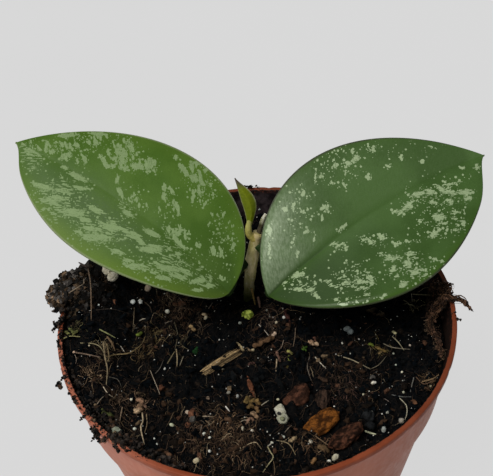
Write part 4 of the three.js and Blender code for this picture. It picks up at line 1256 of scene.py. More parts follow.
def make_clots(material):
    """Dirt that lies on the lip and clings to it in short crumbly fingers."""
    rng = np.random.default_rng(71)
    centres, sizes = [], []
    for first, last, count in RIM_RUNS:
        turn = np.radians(first + (last - first) * rng.random(count))
        radius = LIP_RADIUS - LIP_WIDTH * rng.random(count) ** 0.8
        height = POT_HEIGHT + 0.1 + 0.25 * rng.random(count)
        centres.append(about_axis(radius, turn, height))
        sizes.append(0.07 + 0.22 * rng.random(count) ** 2.4)
    first, last, count = BANK
    turn, inward = np.radians(first + (last - first) * rng.random(count)), rng.random(count)
    radius = LIP_RADIUS - LIP_WIDTH - 0.35 - 3.6 * inward
    height = POT_HEIGHT - 1.1 - 2.4 * inward**0.8 - 0.5 * rng.random(count)
    centres.append(about_axis(radius, turn, height))
    sizes.append(0.14 + 0.42 * rng.random(count) ** 2)
    for first, last, half_wide in CLOTS:
        start, end = at_height(first[:2], first[2]), at_height(last[:2], last[2])
        count = int(8 + 9 * np.linalg.norm(end - start))
        share = rng.random((count, 1))
        centres.append(start + (end - start) * share + rng.normal(0, 0.38 * half_wide, (count, 3)))
        sizes.append(half_wide * (0.25 + 0.6 * rng.random(count)))
    centres, sizes = over_lip(np.concatenate(centres)), np.concatenate(sizes)
    stretch = 0.7 + 0.6 * rng.random((len(sizes), 3))
    points, faces = crumbs(rng, centres, sizes, stretch, 0.4)
    tones = crumb_tones(rng, centres) + CLOT_DUST * rng.random((len(sizes), 1)) ** 2
    make_piece("lip_clots", points, faces, material, False, colours=tones)


# Fibres

# Loose fibres: name, how many, rings, lengths, radii, curl, jitter, and how far they rise off the mix
FIBRE_KINDS = (
    ("coir", 3300, 7, (1.0, 4.5), (0.036, 0.052), 0.30, 0.35, 0.7),
    ("fine_fibres", 700, 12, (3.0, 9.0), (0.038, 0.068), 0.12, 0.16, 1.2),
)
# Colours of fibres from dark to pale, and the share of each
FIBRE_TONES = np.array([
    (0.020, 0.012, 0.008), (0.045, 0.026, 0.016), (0.085, 0.052, 0.030), (0.18, 0.12, 0.065),
    (0.34, 0.26, 0.16),
])
FIBRE_SHARES = [0.36, 0.36, 0.18, 0.08, 0.02]
# Share of the fibres that are kept where the mix is black
BLACK_MIX_SHARE = 0.10
# How far out fibres and knots may reach
FIBRE_REACH = 42.2
KNOT_REACH = 41.9
KNOT_RINGS = 10


def thin_tubes(name, lines, radii, tones, material, around=3):
    """Many thin tubes with the same number of rings as one mesh; lines is (count, rings, 3)."""
    count, rings = lines.shape[:2]
    taper = 1 - 0.55 * np.abs(np.linspace(-1, 1, rings)) ** 3
    points = tube_rings(lines, radii[:, None] * taper, around).reshape(-1, 3)
    quads = grid_faces(rings, around, True)
    last = (rings - 1) * around
    caps = [(0, k, k + 1) for k in range(1, around - 1)]
    caps += [(last, last + k + 1, last + k) for k in range(1, around - 1)]
    faces = np.concatenate([quads[:, (0, 1, 2)], quads[:, (0, 2, 3)], np.array(caps)])
    faces = copies(faces, count, rings * around)
    return make_piece(name, points, faces, material, colours=tones)


def wander(rng, starts, lengths, rings, curl, jitter):
    """Level curling paths from each start: (count, rings, 2)."""
    count = len(starts)
    heading = 2 * math.pi * rng.random((count, 1)) + curl * rng.normal(0, 1, (count, 1)) * np.arange(rings)
    heading = heading + np.cumsum(rng.normal(0, jitter, (count, rings)), 1)
    step = (lengths / (rings - 1))[:, None, None] * np.stack([np.cos(heading), np.sin(heading)], 2)
    return starts[:, None, :2] + np.cumsum(step, 1)


def make_fibres(material):
    """Fine roots and coir that lie over the mix in tangles, their ends in it."""
    rng = np.random.default_rng(31)
    for name, count, rings, (short, long), (thin, thick), curl, jitter, rise in FIBRE_KINDS:
        starts = scatter_on_bed(rng, 3 * count, INNER_REACH)
        wanted = rng.random(3 * count) < BLACK_MIX_SHARE + brownness(starts)
        starts = starts[wanted & clear_of_chips(starts)][:count]
        count = len(starts)
        lengths = short + (long - short) * rng.random(count) ** 1.8
        flat = wander(rng, starts, lengths, rings, curl, jitter)
        flat = flat * np.minimum(1, FIBRE_REACH / np.linalg.norm(flat, axis=2, keepdims=True))
        share = np.linspace(0, 1, rings)[None]
        lift = (0.2 + rise * rng.random((count, 1)) ** 2) * np.sin(math.pi * share) * 1.2 - 0.12
        height = rough_soil(flat[..., 0], flat[..., 1]) + lift
        lines = np.concatenate([flat, height[..., None]], 2)
        brown = brownness(starts)[:, None]
        pick = rng.choice(len(FIBRE_TONES), count, p=FIBRE_SHARES)
        tones = FIBRE_TONES[pick] * (0.35 + 0.5 * rng.random((count, 1)) + 0.9 * brown)
        radii = thin + (thick - thin) * rng.random(count) ** 2
        thin_tubes(name, lines, radii, tones, material)


# Knots of fine roots: centre and spread in the photograph, how many, thickness and colour
TANGLES = [
    (90, 374, 8, 9, 46, 0.075, (0.2, 0.13, 0.075)), (106, 350, 7, 8, 40, 0.085, (0.19, 0.145, 0.08)),
    (181, 312, 9, 16, 80, 0.055, (0.15, 0.095, 0.06)), (172, 300, 7, 8, 30, 0.055, (0.17, 0.12, 0.08)),
    (154, 334, 7, 12, 46, 0.07, (0.16, 0.115, 0.05)), (142, 354, 8, 7, 34, 0.07, (0.15, 0.1, 0.045)),
    (74, 330, 6, 5, 24, 0.05, (0.11, 0.1, 0.045)), (118, 398, 12, 7, 40, 0.065, (0.14, 0.09, 0.055)),
    (140, 404, 7, 8, 34, 0.085, (0.24, 0.15, 0.09)), (236, 446, 20, 18, 130, 0.085, (0.135, 0.08, 0.045)),
    (226, 424, 12, 9, 60, 0.095, (0.16, 0.095, 0.05)), (192, 442, 18, 14, 60, 0.07, (0.12, 0.07, 0.042)),
    (270, 322, 14, 14, 50, 0.055, (0.13, 0.085, 0.06)), (318, 446, 22, 12, 60, 0.07, (0.12, 0.07, 0.038)),
    (345, 388, 20, 12, 60, 0.055, (0.1, 0.055, 0.04)), (120, 441, 12, 7, 46, 0.07, (0.15, 0.1, 0.06)),
    (65, 284, 9, 9, 30, 0.06, (0.12, 0.1, 0.075)), (430, 381, 8, 5, 30, 0.075, (0.15, 0.09, 0.045)),
    (440, 338, 5, 10, 34, 0.07, (0.1, 0.055, 0.04)), (412, 306, 4, 4, 18, 0.075, (0.2, 0.16, 0.09)),
    (381, 350, 7, 4, 20, 0.06, (0.14, 0.105, 0.04)), (200, 322, 9, 9, 26, 0.055, (0.12, 0.085, 0.055)),
    (178, 345, 8, 14, 30, 0.06, (0.12, 0.095, 0.05)), (204, 424, 10, 9, 26, 0.055, (0.13, 0.095, 0.065)),
    (281, 352, 6, 14, 26, 0.06, (0.11, 0.065, 0.045)), (102, 438, 6, 6, 24, 0.06, (0.12, 0.095, 0.07)),
]


def make_tangles(material):
    rng = np.random.default_rng(83)
    lines, radii, tones = [], [], []
    for x, y, wide, high, count, thick, tone in TANGLES:
        for _ in range(count):
            start = on_soil((x + wide * rng.normal(0, 0.5), y + high * rng.normal(0, 0.5)), 0.1)
            length, rise = 0.9 + 2.9 * rng.random() ** 1.6, 0.2 + 0.9 * rng.random() ** 2
            flat = wander(rng, start[None], np.array([length]), KNOT_RINGS, 0.14, 0.38)[0]
            flat *= min(1.0, KNOT_REACH / np.linalg.norm(flat, axis=1).max())
            lift = rise * np.sin(np.linspace(0.15, math.pi, KNOT_RINGS))
            lines.append(np.column_stack([flat, rough_soil(flat[:, 0], flat[:, 1]) + lift - 0.05]))
            radii.append(thick * (0.45 + 0.7 * rng.random()))
            tones.append(np.array(tone) * (0.3 + 1.4 * rng.random() ** 1.4))
    thin_tubes("root_knots", np.array(lines), np.array(radii), np.array(tones), material)


# Strands that show one by one in the photograph: points as x, y and lift over the mix, radius, colour
STRANDS = [
    ([(90, 268, 5.4), (85, 266, 6.2), (79, 262.5, 7)], 0.3, (0.045, 0.03, 0.025)),
    ([(69, 293, 7.0), (76, 288.5, 7.2), (84, 283.5, 6.6)], 0.14, (0.2, 0.15, 0.1)),
    ([(84, 283.5, 6.6), (84, 278, 6.8)], 0.12, (0.2, 0.15, 0.1)),
    ([(87.6, 266, 5.0), (90.4, 282, 4.6), (91.2, 302, 3.2), (91.2, 325, 0.3)], 0.17, (0.15, 0.1, 0.065)),
    ([(103.4, 342, 2.0), (104.8, 356.5, 2.2), (107.4, 369.5, 1.8), (106.3, 385, 0.3)],
     0.2, (0.2, 0.15, 0.085)),
    ([(106.5, 343.5, 2.0), (109, 357, 1.9), (105.6, 366, 1.7)], 0.13, (0.17, 0.12, 0.06)),
    ([(80.3, 343, 0.6), (93.3, 343.7, 1.6), (100.5, 347.3, 2.1), (103.5, 353, 2.1)],
     0.14, (0.24, 0.2, 0.11)),
    ([(73.9, 352.3, 0.6), (87.5, 354.5, 1.8), (100.5, 357.3, 2.1)], 0.2, (0.14, 0.095, 0.065)),
    ([(73.6, 352, 0.7), (75.2, 352.6, 0.8)], 0.34, (0.38, 0.26, 0.18)),
    ([(73.9, 353, 0.6), (76.5, 359, 0.3), (75.5, 364, 0.2)], 0.1, (0.16, 0.12, 0.09)),
    ([(105, 357, 2.0), (116.4, 354.5, 1.7), (129.3, 353, 1.3), (140.9, 345, 0.7), (145.5, 336, 0.4)],
     0.16, (0.17, 0.12, 0.055)),
    ([(99.4, 329.3, 1.0), (107.7, 333.6, 1.7), (115.6, 337.9, 1.0)], 0.17, (0.2, 0.2, 0.085)),
    ([(107, 336.5, 1.5), (112, 343, 1.6), (115, 351, 1.2)], 0.26, (0.15, 0.095, 0.05)),
    ([(103.4, 386.9, 0.7), (108.4, 394.1, 0.9), (115.6, 398.4, 0.3)], 0.14, (0.42, 0.34, 0.24)),
    ([(109, 376.8, 0.6), (117.8, 379.7, 0.9), (122, 388.3, 0.3)], 0.08, (0.1, 0.09, 0.07)),
    ([(90.5, 381.5, 0.5), (97, 379, 0.8), (102.5, 380.5, 0.3)], 0.11, (0.12, 0.085, 0.06)),
    ([(61.6, 339.3, 0.6), (70.3, 336.2, 0.9), (80.3, 336.8, 0.5)], 0.16, (0.24, 0.22, 0.09)),
    ([(134.4, 307.6, 0.6), (133.7, 319.2, 1.2), (132.9, 332.1, 0.3)], 0.1, (0.14, 0.105, 0.065)),
    ([(144.5, 302, 0.6), (150, 307, 0.9), (152, 313, 0.3)], 0.08, (0.1, 0.07, 0.045)),
    ([(139.4, 320.8, 0.5), (143.5, 318.8, 0.8), (148.2, 319.3, 0.4)], 0.13, (0.38, 0.33, 0.25)),
    ([(96, 310, 1.6), (112, 309, 1.3), (127, 313, 0.4)], 0.07, (0.06, 0.045, 0.035)),
    ([(142.3, 412.8, 1.1), (142.9, 421, 1.3), (140.9, 428.7, 1.2), (145.2, 447.4, 0.2)],
     0.19, (0.38, 0.29, 0.18)),
    ([(146.5, 414, 0.6), (147, 424, 0.9), (144.5, 433, 0.4)], 0.12, (0.2, 0.14, 0.08)),
    ([(122.5, 407, 0.9), (121, 414, 0.9), (119.8, 421, 0.3)], 0.14, (0.2, 0.14, 0.09)),
    ([(97, 404, 0.7), (101, 399, 0.9), (104.5, 395.5, 0.5)], 0.12, (0.26, 0.2, 0.14)),
    ([(150.2, 370.3, 0.4), (155.3, 382.6, 1.1), (159, 392, 0.7), (162.5, 402.7, 0.2)],
     0.1, (0.26, 0.21, 0.15)),
    ([(155.5, 373.5, 0.3), (160, 368, 0.7), (163.5, 360, 0.3)], 0.08, (0.12, 0.1, 0.08)),
    ([(120.7, 346, 0.8), (124.2, 351.5, 0.6)], 0.1, (0.42, 0.38, 0.32)),
    ([(167.4, 363.5, 0.4), (171, 357.5, 0.7), (174.5, 351.7, 0.3)], 0.14, (0.16, 0.13, 0.07)),
    ([(176.3, 349.3, 0.4), (177.2, 358, 0.7), (176.9, 367.1, 0.2)], 0.16, (0.3, 0.23, 0.13)),
    ([(183.4, 356.4, 0.4), (181.5, 361, 0.6), (179.8, 365.9, 0.2)], 0.11, (0.2, 0.17, 0.12)),
    ([(174.5, 322, 0.4), (177.5, 335, 0.9), (175, 350, 0.3)], 0.1, (0.09, 0.075, 0.045)),
    ([(212.4, 303, 0.7), (209, 308, 0.8), (206.5, 312.5, 0.4)], 0.11, (0.17, 0.13, 0.1)),
    ([(178, 297.1, 0.5), (183, 302, 0.9), (187.5, 309, 0.3)], 0.11, (0.15, 0.11, 0.085)),
    ([(165, 323.2, 0.4), (172.1, 320.8, 0.6)], 0.1, (0.17, 0.14, 0.11)),
    ([(258.7, 324.4, 0.6), (264, 330, 0.9), (269.4, 336.3, 0.4)], 0.11, (0.34, 0.3, 0.24)),
    ([(295.5, 328, 0.5), (294.8, 338, 0.9), (293.1, 346.9, 0.3)], 0.1, (0.17, 0.12, 0.08)),
    ([(283.6, 340, 0.4), (281.5, 347, 0.7), (276, 352, 0.3)], 0.1, (0.2, 0.15, 0.11)),
    ([(276.8, 359, 0.7), (276.5, 365, 0.6), (275.9, 371.5, 0.2)], 0.17, (0.34, 0.25, 0.16)),
    ([(315.2, 357.2, 0.5), (321, 363.5, 0.8), (327.4, 370.2, 0.3)], 0.15, (0.44, 0.39, 0.3)),
    ([(309.7, 356.4, 0.4), (307.4, 367.1, 0.9), (311.5, 381.3, 0.3)], 0.11, (0.14, 0.115, 0.09)),
    ([(195.2, 416.9, 0.5), (204, 416.3, 0.8), (213.6, 416.9, 0.4)], 0.15, (0.32, 0.25, 0.17)),
    ([(203, 419.3, 0.5), (201.5, 427, 0.7), (199.4, 434.7, 0.2)], 0.11, (0.17, 0.13, 0.1)),
    ([(204, 418, 0.5), (208.5, 423, 0.7), (212.4, 427.6, 0.2)], 0.11, (0.17, 0.125, 0.085)),
    ([(261.1, 405.4, 0.9), (265.5, 402.5, 0.8), (269.4, 400, 0.4)], 0.12, (0.3, 0.26, 0.19)),
    ([(225.5, 406.3, 0.6), (229.6, 411.5, 0.4)], 0.18, (0.52, 0.48, 0.42)),
    ([(240.9, 421.5, 0.7), (245, 420, 0.8), (249, 422, 0.4)], 0.1, (0.34, 0.28, 0.2)),
    ([(284.8, 432.3, 0.4), (288.5, 428, 0.6), (291.9, 425.2, 0.3)], 0.09, (0.2, 0.16, 0.12)),
    ([(276.5, 440.1, 0.5), (287.2, 443, 0.9), (292, 448, 0.8), (295.5, 455, 0.3)],
     0.13, (0.21, 0.16, 0.09)),
    ([(267.6, 446.6, 0.5), (270.5, 452, 0.9), (273.2, 457.5, 1.0), (268, 465, 0.9), (261.1, 475, 0.3)],
     0.15, (0.3, 0.26, 0.14)),
    ([(268, 446, 0.5), (272, 443, 0.6)], 0.16, (0.42, 0.38, 0.3)),
    ([(337.2, 355.4, 0.3), (352.3, 360, 1.2), (370.7, 369.2, 0.5)], 0.13, (0.3, 0.25, 0.16)),
    ([(371, 369, 0.4), (379, 364.5, 0.8), (386.5, 356, 0.3)], 0.09, (0.17, 0.14, 0.09)),
    ([(392.4, 336.4, 0.6), (398.3, 342.3, 1.2), (404.2, 350.5, 0.5)], 0.14, (0.3, 0.26, 0.16)),
    ([(383.2, 343.6, 0.4), (393, 347.5, 1.0), (410.5, 349.5, 0.4)], 0.11, (0.2, 0.17, 0.12)),
    ([(415.4, 371.2, 0.5), (412.8, 381.7, 0.9), (410.2, 392.2, 0.3)], 0.13, (0.16, 0.15, 0.13)),
    ([(399.6, 398.1, 0.5), (406.2, 405.4, 1.2), (406.9, 413.2, 1.2), (404.9, 420, 0.4)],
     0.13, (0.38, 0.34, 0.24)),
    ([(391.8, 394.8, 0.3), (402.3, 396.8, 0.8), (412.8, 396.8, 0.3)], 0.11, (0.12, 0.12, 0.11)),
    ([(364.8, 431, 0.5), (370.5, 433, 0.7), (376, 434.3, 0.4)], 0.24, (0.42, 0.42, 0.27)),
    ([(422, 381.7, 1.0), (432.5, 379, 1.8), (439, 374.5, 3.0)], 0.18, (0.17, 0.11, 0.055)),
    ([(416, 377, 0.8), (424, 384, 1.3), (434, 380, 2.2)], 0.12, (0.12, 0.07, 0.04)),
    ([(412.8, 294.3, 3.8), (429.9, 295, 5.2), (444.3, 293.7, 6.6)], 0.15, (0.19, 0.15, 0.085)),
    ([(418, 292.3, 4.0), (427.2, 287.7, 5.4), (443, 291.7, 6.6)], 0.11, (0.14, 0.105, 0.065)),
    ([(411.5, 293.7, 3.6), (411.8, 297, 2.8), (412.4, 300.5, 2.0)], 0.13, (0.26, 0.22, 0.17)),
    ([(403.5, 300, 1.6), (409, 304, 1.6), (413, 312, 0.6)], 0.13, (0.14, 0.11, 0.065)),
    ([(408, 304, 1.6), (414, 306, 1.4), (415, 309, 0.8)], 0.16, (0.2, 0.17, 0.1)),
    ([(415.5, 350, 0.4), (419.5, 358, 0.7), (421.5, 366, 0.3)], 0.09, (0.11, 0.07, 0.06)),
    ([(384, 398.5, 0.4), (387.5, 400.5, 0.6), (390.5, 403, 0.3)], 0.1, (0.14, 0.11, 0.09)),
    ([(310, 432, 0.2), (318, 438, 0.7), (328, 445, 0.2)], 0.13, (0.17, 0.11, 0.06)),
    ([(150, 465, 0.3), (158, 459, 1.3), (168, 452, 0.3)], 0.1, (0.2, 0.14, 0.09)),
    ([(251.7, 288.7, 6.2), (253.5, 297, 4.0), (255.2, 305, 1.6)], 0.26, (0.2, 0.13, 0.04)),
    ([(257.9, 297.3, 3.6), (259.3, 303, 2.2), (259.8, 307.5, 1.2)], 0.32, (0.12, 0.07, 0.05)),
]
STRAND_RADII = np.array([1, 1.05, 0.55]) * 0.88
STRAND_GRID = (22, 8)


def make_strands(material):
    parts, tones = [], []
    for points, radius, tone in STRANDS:
        line = smooth_line([on_soil((x, y), lift) for x, y, lift in points], STRAND_GRID[0])
        parts.append(tube(line, radius * STRAND_RADII, STRAND_GRID[1]))
        tones.append(tone)
    make_joined("strands", parts, tones, material)


# Perlite and pale grains that show in the photograph: x, y, radius in millimetres, colour, more lift
GRAINS = [
    (106.8, 271, 1.1, (0.92, 0.84, 0.7)), (112.5, 276, 1.12, (0.92, 0.85, 0.72)),
    (132.5, 302, 0.55, (0.9, 0.95, 1)), (140.5, 302, 0.65, (0.95, 0.97, 1)),
    (148, 288, 0.8, (0.62, 0.5, 0.4)), (167.5, 311.5, 0.5, (1, 0.98, 0.9)),
    (280.3, 411.3, 1.3, (0.7, 0.68, 0.58)), (283, 418.8, 1.25, (0.46, 0.46, 0.36)),
    # The black grain in the large pebble is painted shade in its hole
    (279.4, 413.4, 0.42, (0.02, 0.02, 0.02), 1.9), (282.3, 418.5, 0.5, (0.26, 0.27, 0.16), 1.5),
    (115.5, 431.5, 0.95, (0.4, 0.44, 0.37), 1.0), (119.8, 432.5, 0.75, (0.36, 0.4, 0.34), 1.0),
    (134.7, 428.7, 0.36, (0.85, 0.88, 0.8)), (354.5, 340.5, 0.18, (0.9, 0.9, 0.9)),
    (347.2, 329, 0.72, (0.19, 0.22, 0.24), 0.7), (350.4, 332, 0.76, (0.19, 0.22, 0.24), 0.7),
    (401.6, 420.5, 0.6, (0.42, 0.38, 0.34)), (383.6, 429.7, 0.58, (0.4, 0.43, 0.43)),
    (206, 317.5, 0.42, (0.9, 0.8, 0.62)), (284, 317.6, 0.42, (1, 1, 1)),
    (266.5, 310.5, 0.36, (0.8, 0.85, 0.8)), (269, 316.5, 0.3, (0.6, 0.62, 0.55)),
    (276.5, 322.5, 0.36, (0.75, 0.66, 0.52)), (240, 323, 0.42, (0.42, 0.45, 0.42)),
    (198, 342, 0.28, (0.75, 0.72, 0.5)), (242.4, 428.6, 0.4, (0.8, 0.72, 0.58)),
    (252.5, 431, 0.34, (0.95, 0.9, 0.8)), (204, 433.5, 0.28, (1, 1, 0.95)),
    (209.8, 437.6, 0.26, (1, 1, 0.95)), (209.4, 451, 0.3, (1, 1, 0.98)),
    (196.4, 460.7, 0.68, (0.72, 0.62, 0.44)), (171.5, 425, 0.5, (0.62, 0.64, 0.48)),
    (283.5, 437, 0.34, (0.78, 0.8, 0.74)), (272, 442.7, 0.28, (0.7, 0.7, 0.64)),
    (329, 461, 0.34, (0.9, 0.9, 0.86)), (335.5, 457, 0.75, (0.62, 0.58, 0.46)),
    (228.5, 392.5, 0.42, (0.32, 0.3, 0.27)), (237.5, 396, 0.42, (0.36, 0.36, 0.36)),
    (207.8, 398, 0.42, (0.3, 0.22, 0.17)), (252, 350.5, 0.42, (0.66, 0.54, 0.36)),
    (222.5, 370, 0.32, (0.8, 0.74, 0.58)), (187.5, 412.5, 0.5, (0.62, 0.5, 0.42)),
    (278, 399.3, 0.34, (0.66, 0.62, 0.46)), (310.5, 441.7, 0.46, (0.74, 0.68, 0.58)),
    (360, 336, 0.22, (1, 1, 1)), (363.5, 336, 0.24, (1, 1, 1)), (342.2, 343, 0.26, (1, 1, 0.95)),
    (373.4, 382.7, 0.42, (1, 0.95, 0.85)), (396, 365, 0.3, (0.6, 0.66, 0.6)),
    (402, 372, 0.24, (0.9, 0.85, 0.7)), (356, 387.5, 0.16, (1, 1, 1)),
    (363.5, 394.3, 0.26, (0.7, 0.66, 0.52)), (403.5, 392, 0.3, (0.62, 0.62, 0.5)),
    (430.5, 386.5, 0.42, (0.4, 0.34, 0.24)), (387, 412.5, 0.36, (0.42, 0.42, 0.38)),
    (410, 345.5, 0.24, (0.55, 0.45, 0.38)), (393.5, 353.5, 0.28, (0.42, 0.44, 0.38)),
    (80, 297, 0.22, (0.9, 0.9, 0.86)), (98.8, 305, 0.22, (0.9, 0.95, 1)),
    (79, 312, 0.24, (0.7, 0.78, 0.85)), (154.5, 438.5, 0.24, (0.8, 0.84, 0.8)),
    (157, 444, 0.24, (0.7, 0.74, 0.74)), (131.5, 399.5, 0.4, (0.9, 0.84, 0.7)),
    (164.7, 368.8, 0.26, (0.8, 0.8, 0.8)), (259.5, 209.5, 0.26, (0.5, 0.55, 0.6), 1.0),
    (89.2, 345.6, 0.2, (0.7, 0.6, 0.45)),
]
# The first two lie on the heap
HEAP_GRAIN_HEIGHTS = (72.3, 71.6)
SPECK_COUNT = 340


def make_grains(material):
    rng = np.random.default_rng(47)
    centres = np.array([on_soil((x, y), 0.3 + 0.45 * size + sum(more)) for x, y, size, _, *more in GRAINS])
    centres[:2] = [at_height((x, y), height) for (x, y, *_), height in zip(GRAINS, HEAP_GRAIN_HEIGHTS)]
    sizes, tones = (np.array([grain[k] for grain in GRAINS]) for k in (2, 3))
    stretch = np.tile((1.0, 1.0, 0.85), (len(sizes), 1))
    stretch[:, 0] += 0.25 * rng.random(len(sizes))
    points, faces = crumbs(rng, centres, sizes, stretch, 0.06, ball(2))
    middles = spread(centres, points)
    bumps = 1 + 0.24 * fuzz(points, 0.9, 2)
    points = middles + (points - middles) * bumps[:, None]
    make_piece("perlite", points, faces, material, colours=tones)

    specks = scatter_on_bed(rng, SPECK_COUNT, INNER_REACH)
    small = 0.07 + 0.13 * rng.random(SPECK_COUNT) ** 2
    specks[:, 2] += 0.35 + 0.3 * rng.random(SPECK_COUNT)
    points, faces = crumbs(rng, specks, small, np.ones((SPECK_COUNT, 3)), 0.2)
    tones = 0.5 + 0.5 * rng.random((SPECK_COUNT, 1)) * np.array([[1, 0.97, 0.92]])
    make_piece("perlite_specks", points, faces, material, colours=tones)


# Chips of bark and wood

# Centre, size, yaw, tilt and seed as in the solids, then the dark and the light colour
CHIPS = {
    "bark_chip_mauve": (
        (7.8, -21.3, 64.6), (6.6, 5, 1.8), 25, 12, 3, (0.020, 0.008, 0.0045), (0.085, 0.034, 0.019),
    ),
    "bark_chip_wrinkled": (
        (13.1, -22.3, 64.4), (4, 5, 2.3), -10, 10, 5, (0.006, 0.004, 0.003), (0.046, 0.026, 0.017),
    ),
    "bark_chip_orange": (
        (12.3, -28.8, 64.9), (9, 5.4, 2.2), 22, 16, 7, (0.036, 0.012, 0.002), (0.185, 0.062, 0.010),
    ),
    "bark_chip_brown": (
        (16.8, -32.6, 64.4), (8.6, 5.4, 2.2), 38, 10, 11, (0.010, 0.004, 0.002), (0.088, 0.034, 0.018),
    ),
    "wood_splinter": (
        (-8.1, -10.6, 65), (11.8, 2.4, 1.4), 40, -6, 13, (0.040, 0.022, 0.010), (0.46, 0.32, 0.16),
    ),
    "bark_needle": (
        (-2.3, -18.4, 65.9), (6, 1, 0.8), -78, 14, 17, (0.09, 0.032, 0.015), (0.23, 0.09, 0.048),
    ),
    "green_bud": (
        (-1.7, 3, 65.3), (3.1, 1.9, 1.7), 0, 0, 19, (0.16, 0.22, 0.018), (0.66, 0.74, 0.15),
    ),
}
CHIP_CORNERS = 9
CHIP_HEIGHTS = (-0.5, -0.1, 0.25, 0.5)
CHIP_SPREADS = (0.74, 1.0, 0.94, 0.66)
CHIP_GRID = (64, 18)
# Rings that close each face of a chip toward its middle
CHIP_CAP = 5
# Depth and size of a chip's coarse and fine breaks
CHIP_BREAKS = ((0.34, 1.9), (0.16, 0.6))
# How the grain of the surface runs: along, across and through the chip
CHIP_GRAIN = (0.8, 1.3, 1.6)
OWN_GRAINS = {
    "wood_splinter": (0.3, 2.4, 1.2), "bark_chip_wrinkled": (2.2, 0.5, 1.2), "green_bud": (1.8, 1.8, 1.8),
}
SLAT_COUNT = 22
SLAT_RINGS = 12
SLAT_TONE = (0.44, 0.30, 0.15)
# Over how much of the splinter's width the slats lie, and the half width and height of their crown as
# shares of its size
SLAT_SPREAD = 0.86
SLAT_CROWN = 0.6
SLAT_LIFT = 0.42


def chip_outline(seed, around):
    """The many-cornered outline that the solid draws from the same seed."""
    draw = draws(seed)
    reach = [0.78 + 0.34 * next(draw) for _ in range(CHIP_CORNERS)]
    turn = 2 * math.pi * np.arange(CHIP_CORNERS + 1) / CHIP_CORNERS
    corners = np.stack([np.cos(turn), np.sin(turn)], 1) * np.array([*reach, reach[0]])[:, None]
    return np.stack([np.interp(full_turn(around), turn, corners[:, k]) for k in (0, 1)], 1)


def chip_stand(yaw, tilt):
    """The rotation of a chip that is turned and tilted by degrees."""
    return (rotations(2, math.radians(yaw)) @ rotations(1, math.radians(-tilt)))[0]


def make_chip(name, material):
    """A chip of the solid's own outline, with worn corners and a broken surface."""
    centre, size, yaw, tilt, seed, dark, light = CHIPS[name]
    around, layers = CHIP_GRID
    level = np.linspace(-0.5, 0.5, layers)
    level = np.concatenate([np.full(CHIP_CAP, -0.5), level, np.full(CHIP_CAP, 0.5)])
    widths = np.interp(level, CHIP_HEIGHTS, CHIP_SPREADS)
    widths[:CHIP_CAP] *= np.linspace(0.1, 0.9, CHIP_CAP)
    widths[-CHIP_CAP:] *= np.linspace(0.95, 0.1, CHIP_CAP)
    flat = chip_outline(seed, around)[None] * np.array(size[:2]) / 2 * widths[:, None, None]
    heights = np.broadcast_to((level * size[2])[:, None, None], (*flat.shape[:2], 1))
    points, faces = closed_loft(np.concatenate([flat, heights], 2))
    grain = np.array(OWN_GRAINS.get(name, CHIP_GRAIN))
    (depth, coarse), (fine_depth, fine) = CHIP_BREAKS
    push = depth * fuzz(points * grain, coarse, 3, seed) + fine_depth * fuzz(points * grain, fine, 2, seed)
    points = points + unit(points + 1e-6) * (min(1.0, size[2] / 2) * push)[:, None]
    mottle = 0.45 + 1.1 * fuzz(points * grain, 1.3, 2, seed + 9) + 0.9 * fuzz(points * grain, 0.45, 2, seed)
    tones = blend(np.clip(mottle, 0, 1)[:, None], dark, light)
    points = points @ chip_stand(yaw, tilt).T + np.array(centre)
    piece = make_piece(name + "_fine", points, faces, material, colours=tones)
    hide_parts(name)


def make_splinter_grain(material):
    """Slats of broken wood side by side along the splinter."""
    centre, size, yaw, tilt, *_ = CHIPS["wood_splinter"]
    rng = np.random.default_rng(97)
    along, across, _ = chip_stand(yaw, tilt).T
    lines, tones = [], []
    for k in range(SLAT_COUNT):
        side = (k / (SLAT_COUNT - 1) - 0.5) * SLAT_SPREAD * size[1]
        first, last = -0.5 + 0.16 * rng.random(), 0.5 - 0.22 * rng.random()
        run = np.linspace(first, last, SLAT_RINGS)[:, None] * size[0]
        crown = math.sqrt(1 - (side / (SLAT_CROWN * size[1])) ** 2)
        height = SLAT_LIFT * size[2] * crown + 0.12 * rng.random()
        wobble = np.cumsum(rng.normal(0, 0.028, (SLAT_RINGS, 3)), 0)
        lines.append(np.array(centre) + run * along + side * across + (0, 0, height) + wobble)
        tones.append(np.array(SLAT_TONE) * (0.06 + 1.1 * rng.random() ** 1.7))
    radii = 0.10 + 0.10 * rng.random(SLAT_COUNT)
    thin_tubes("splinter_slats", np.array(lines), radii, np.array(tones), material, 5)


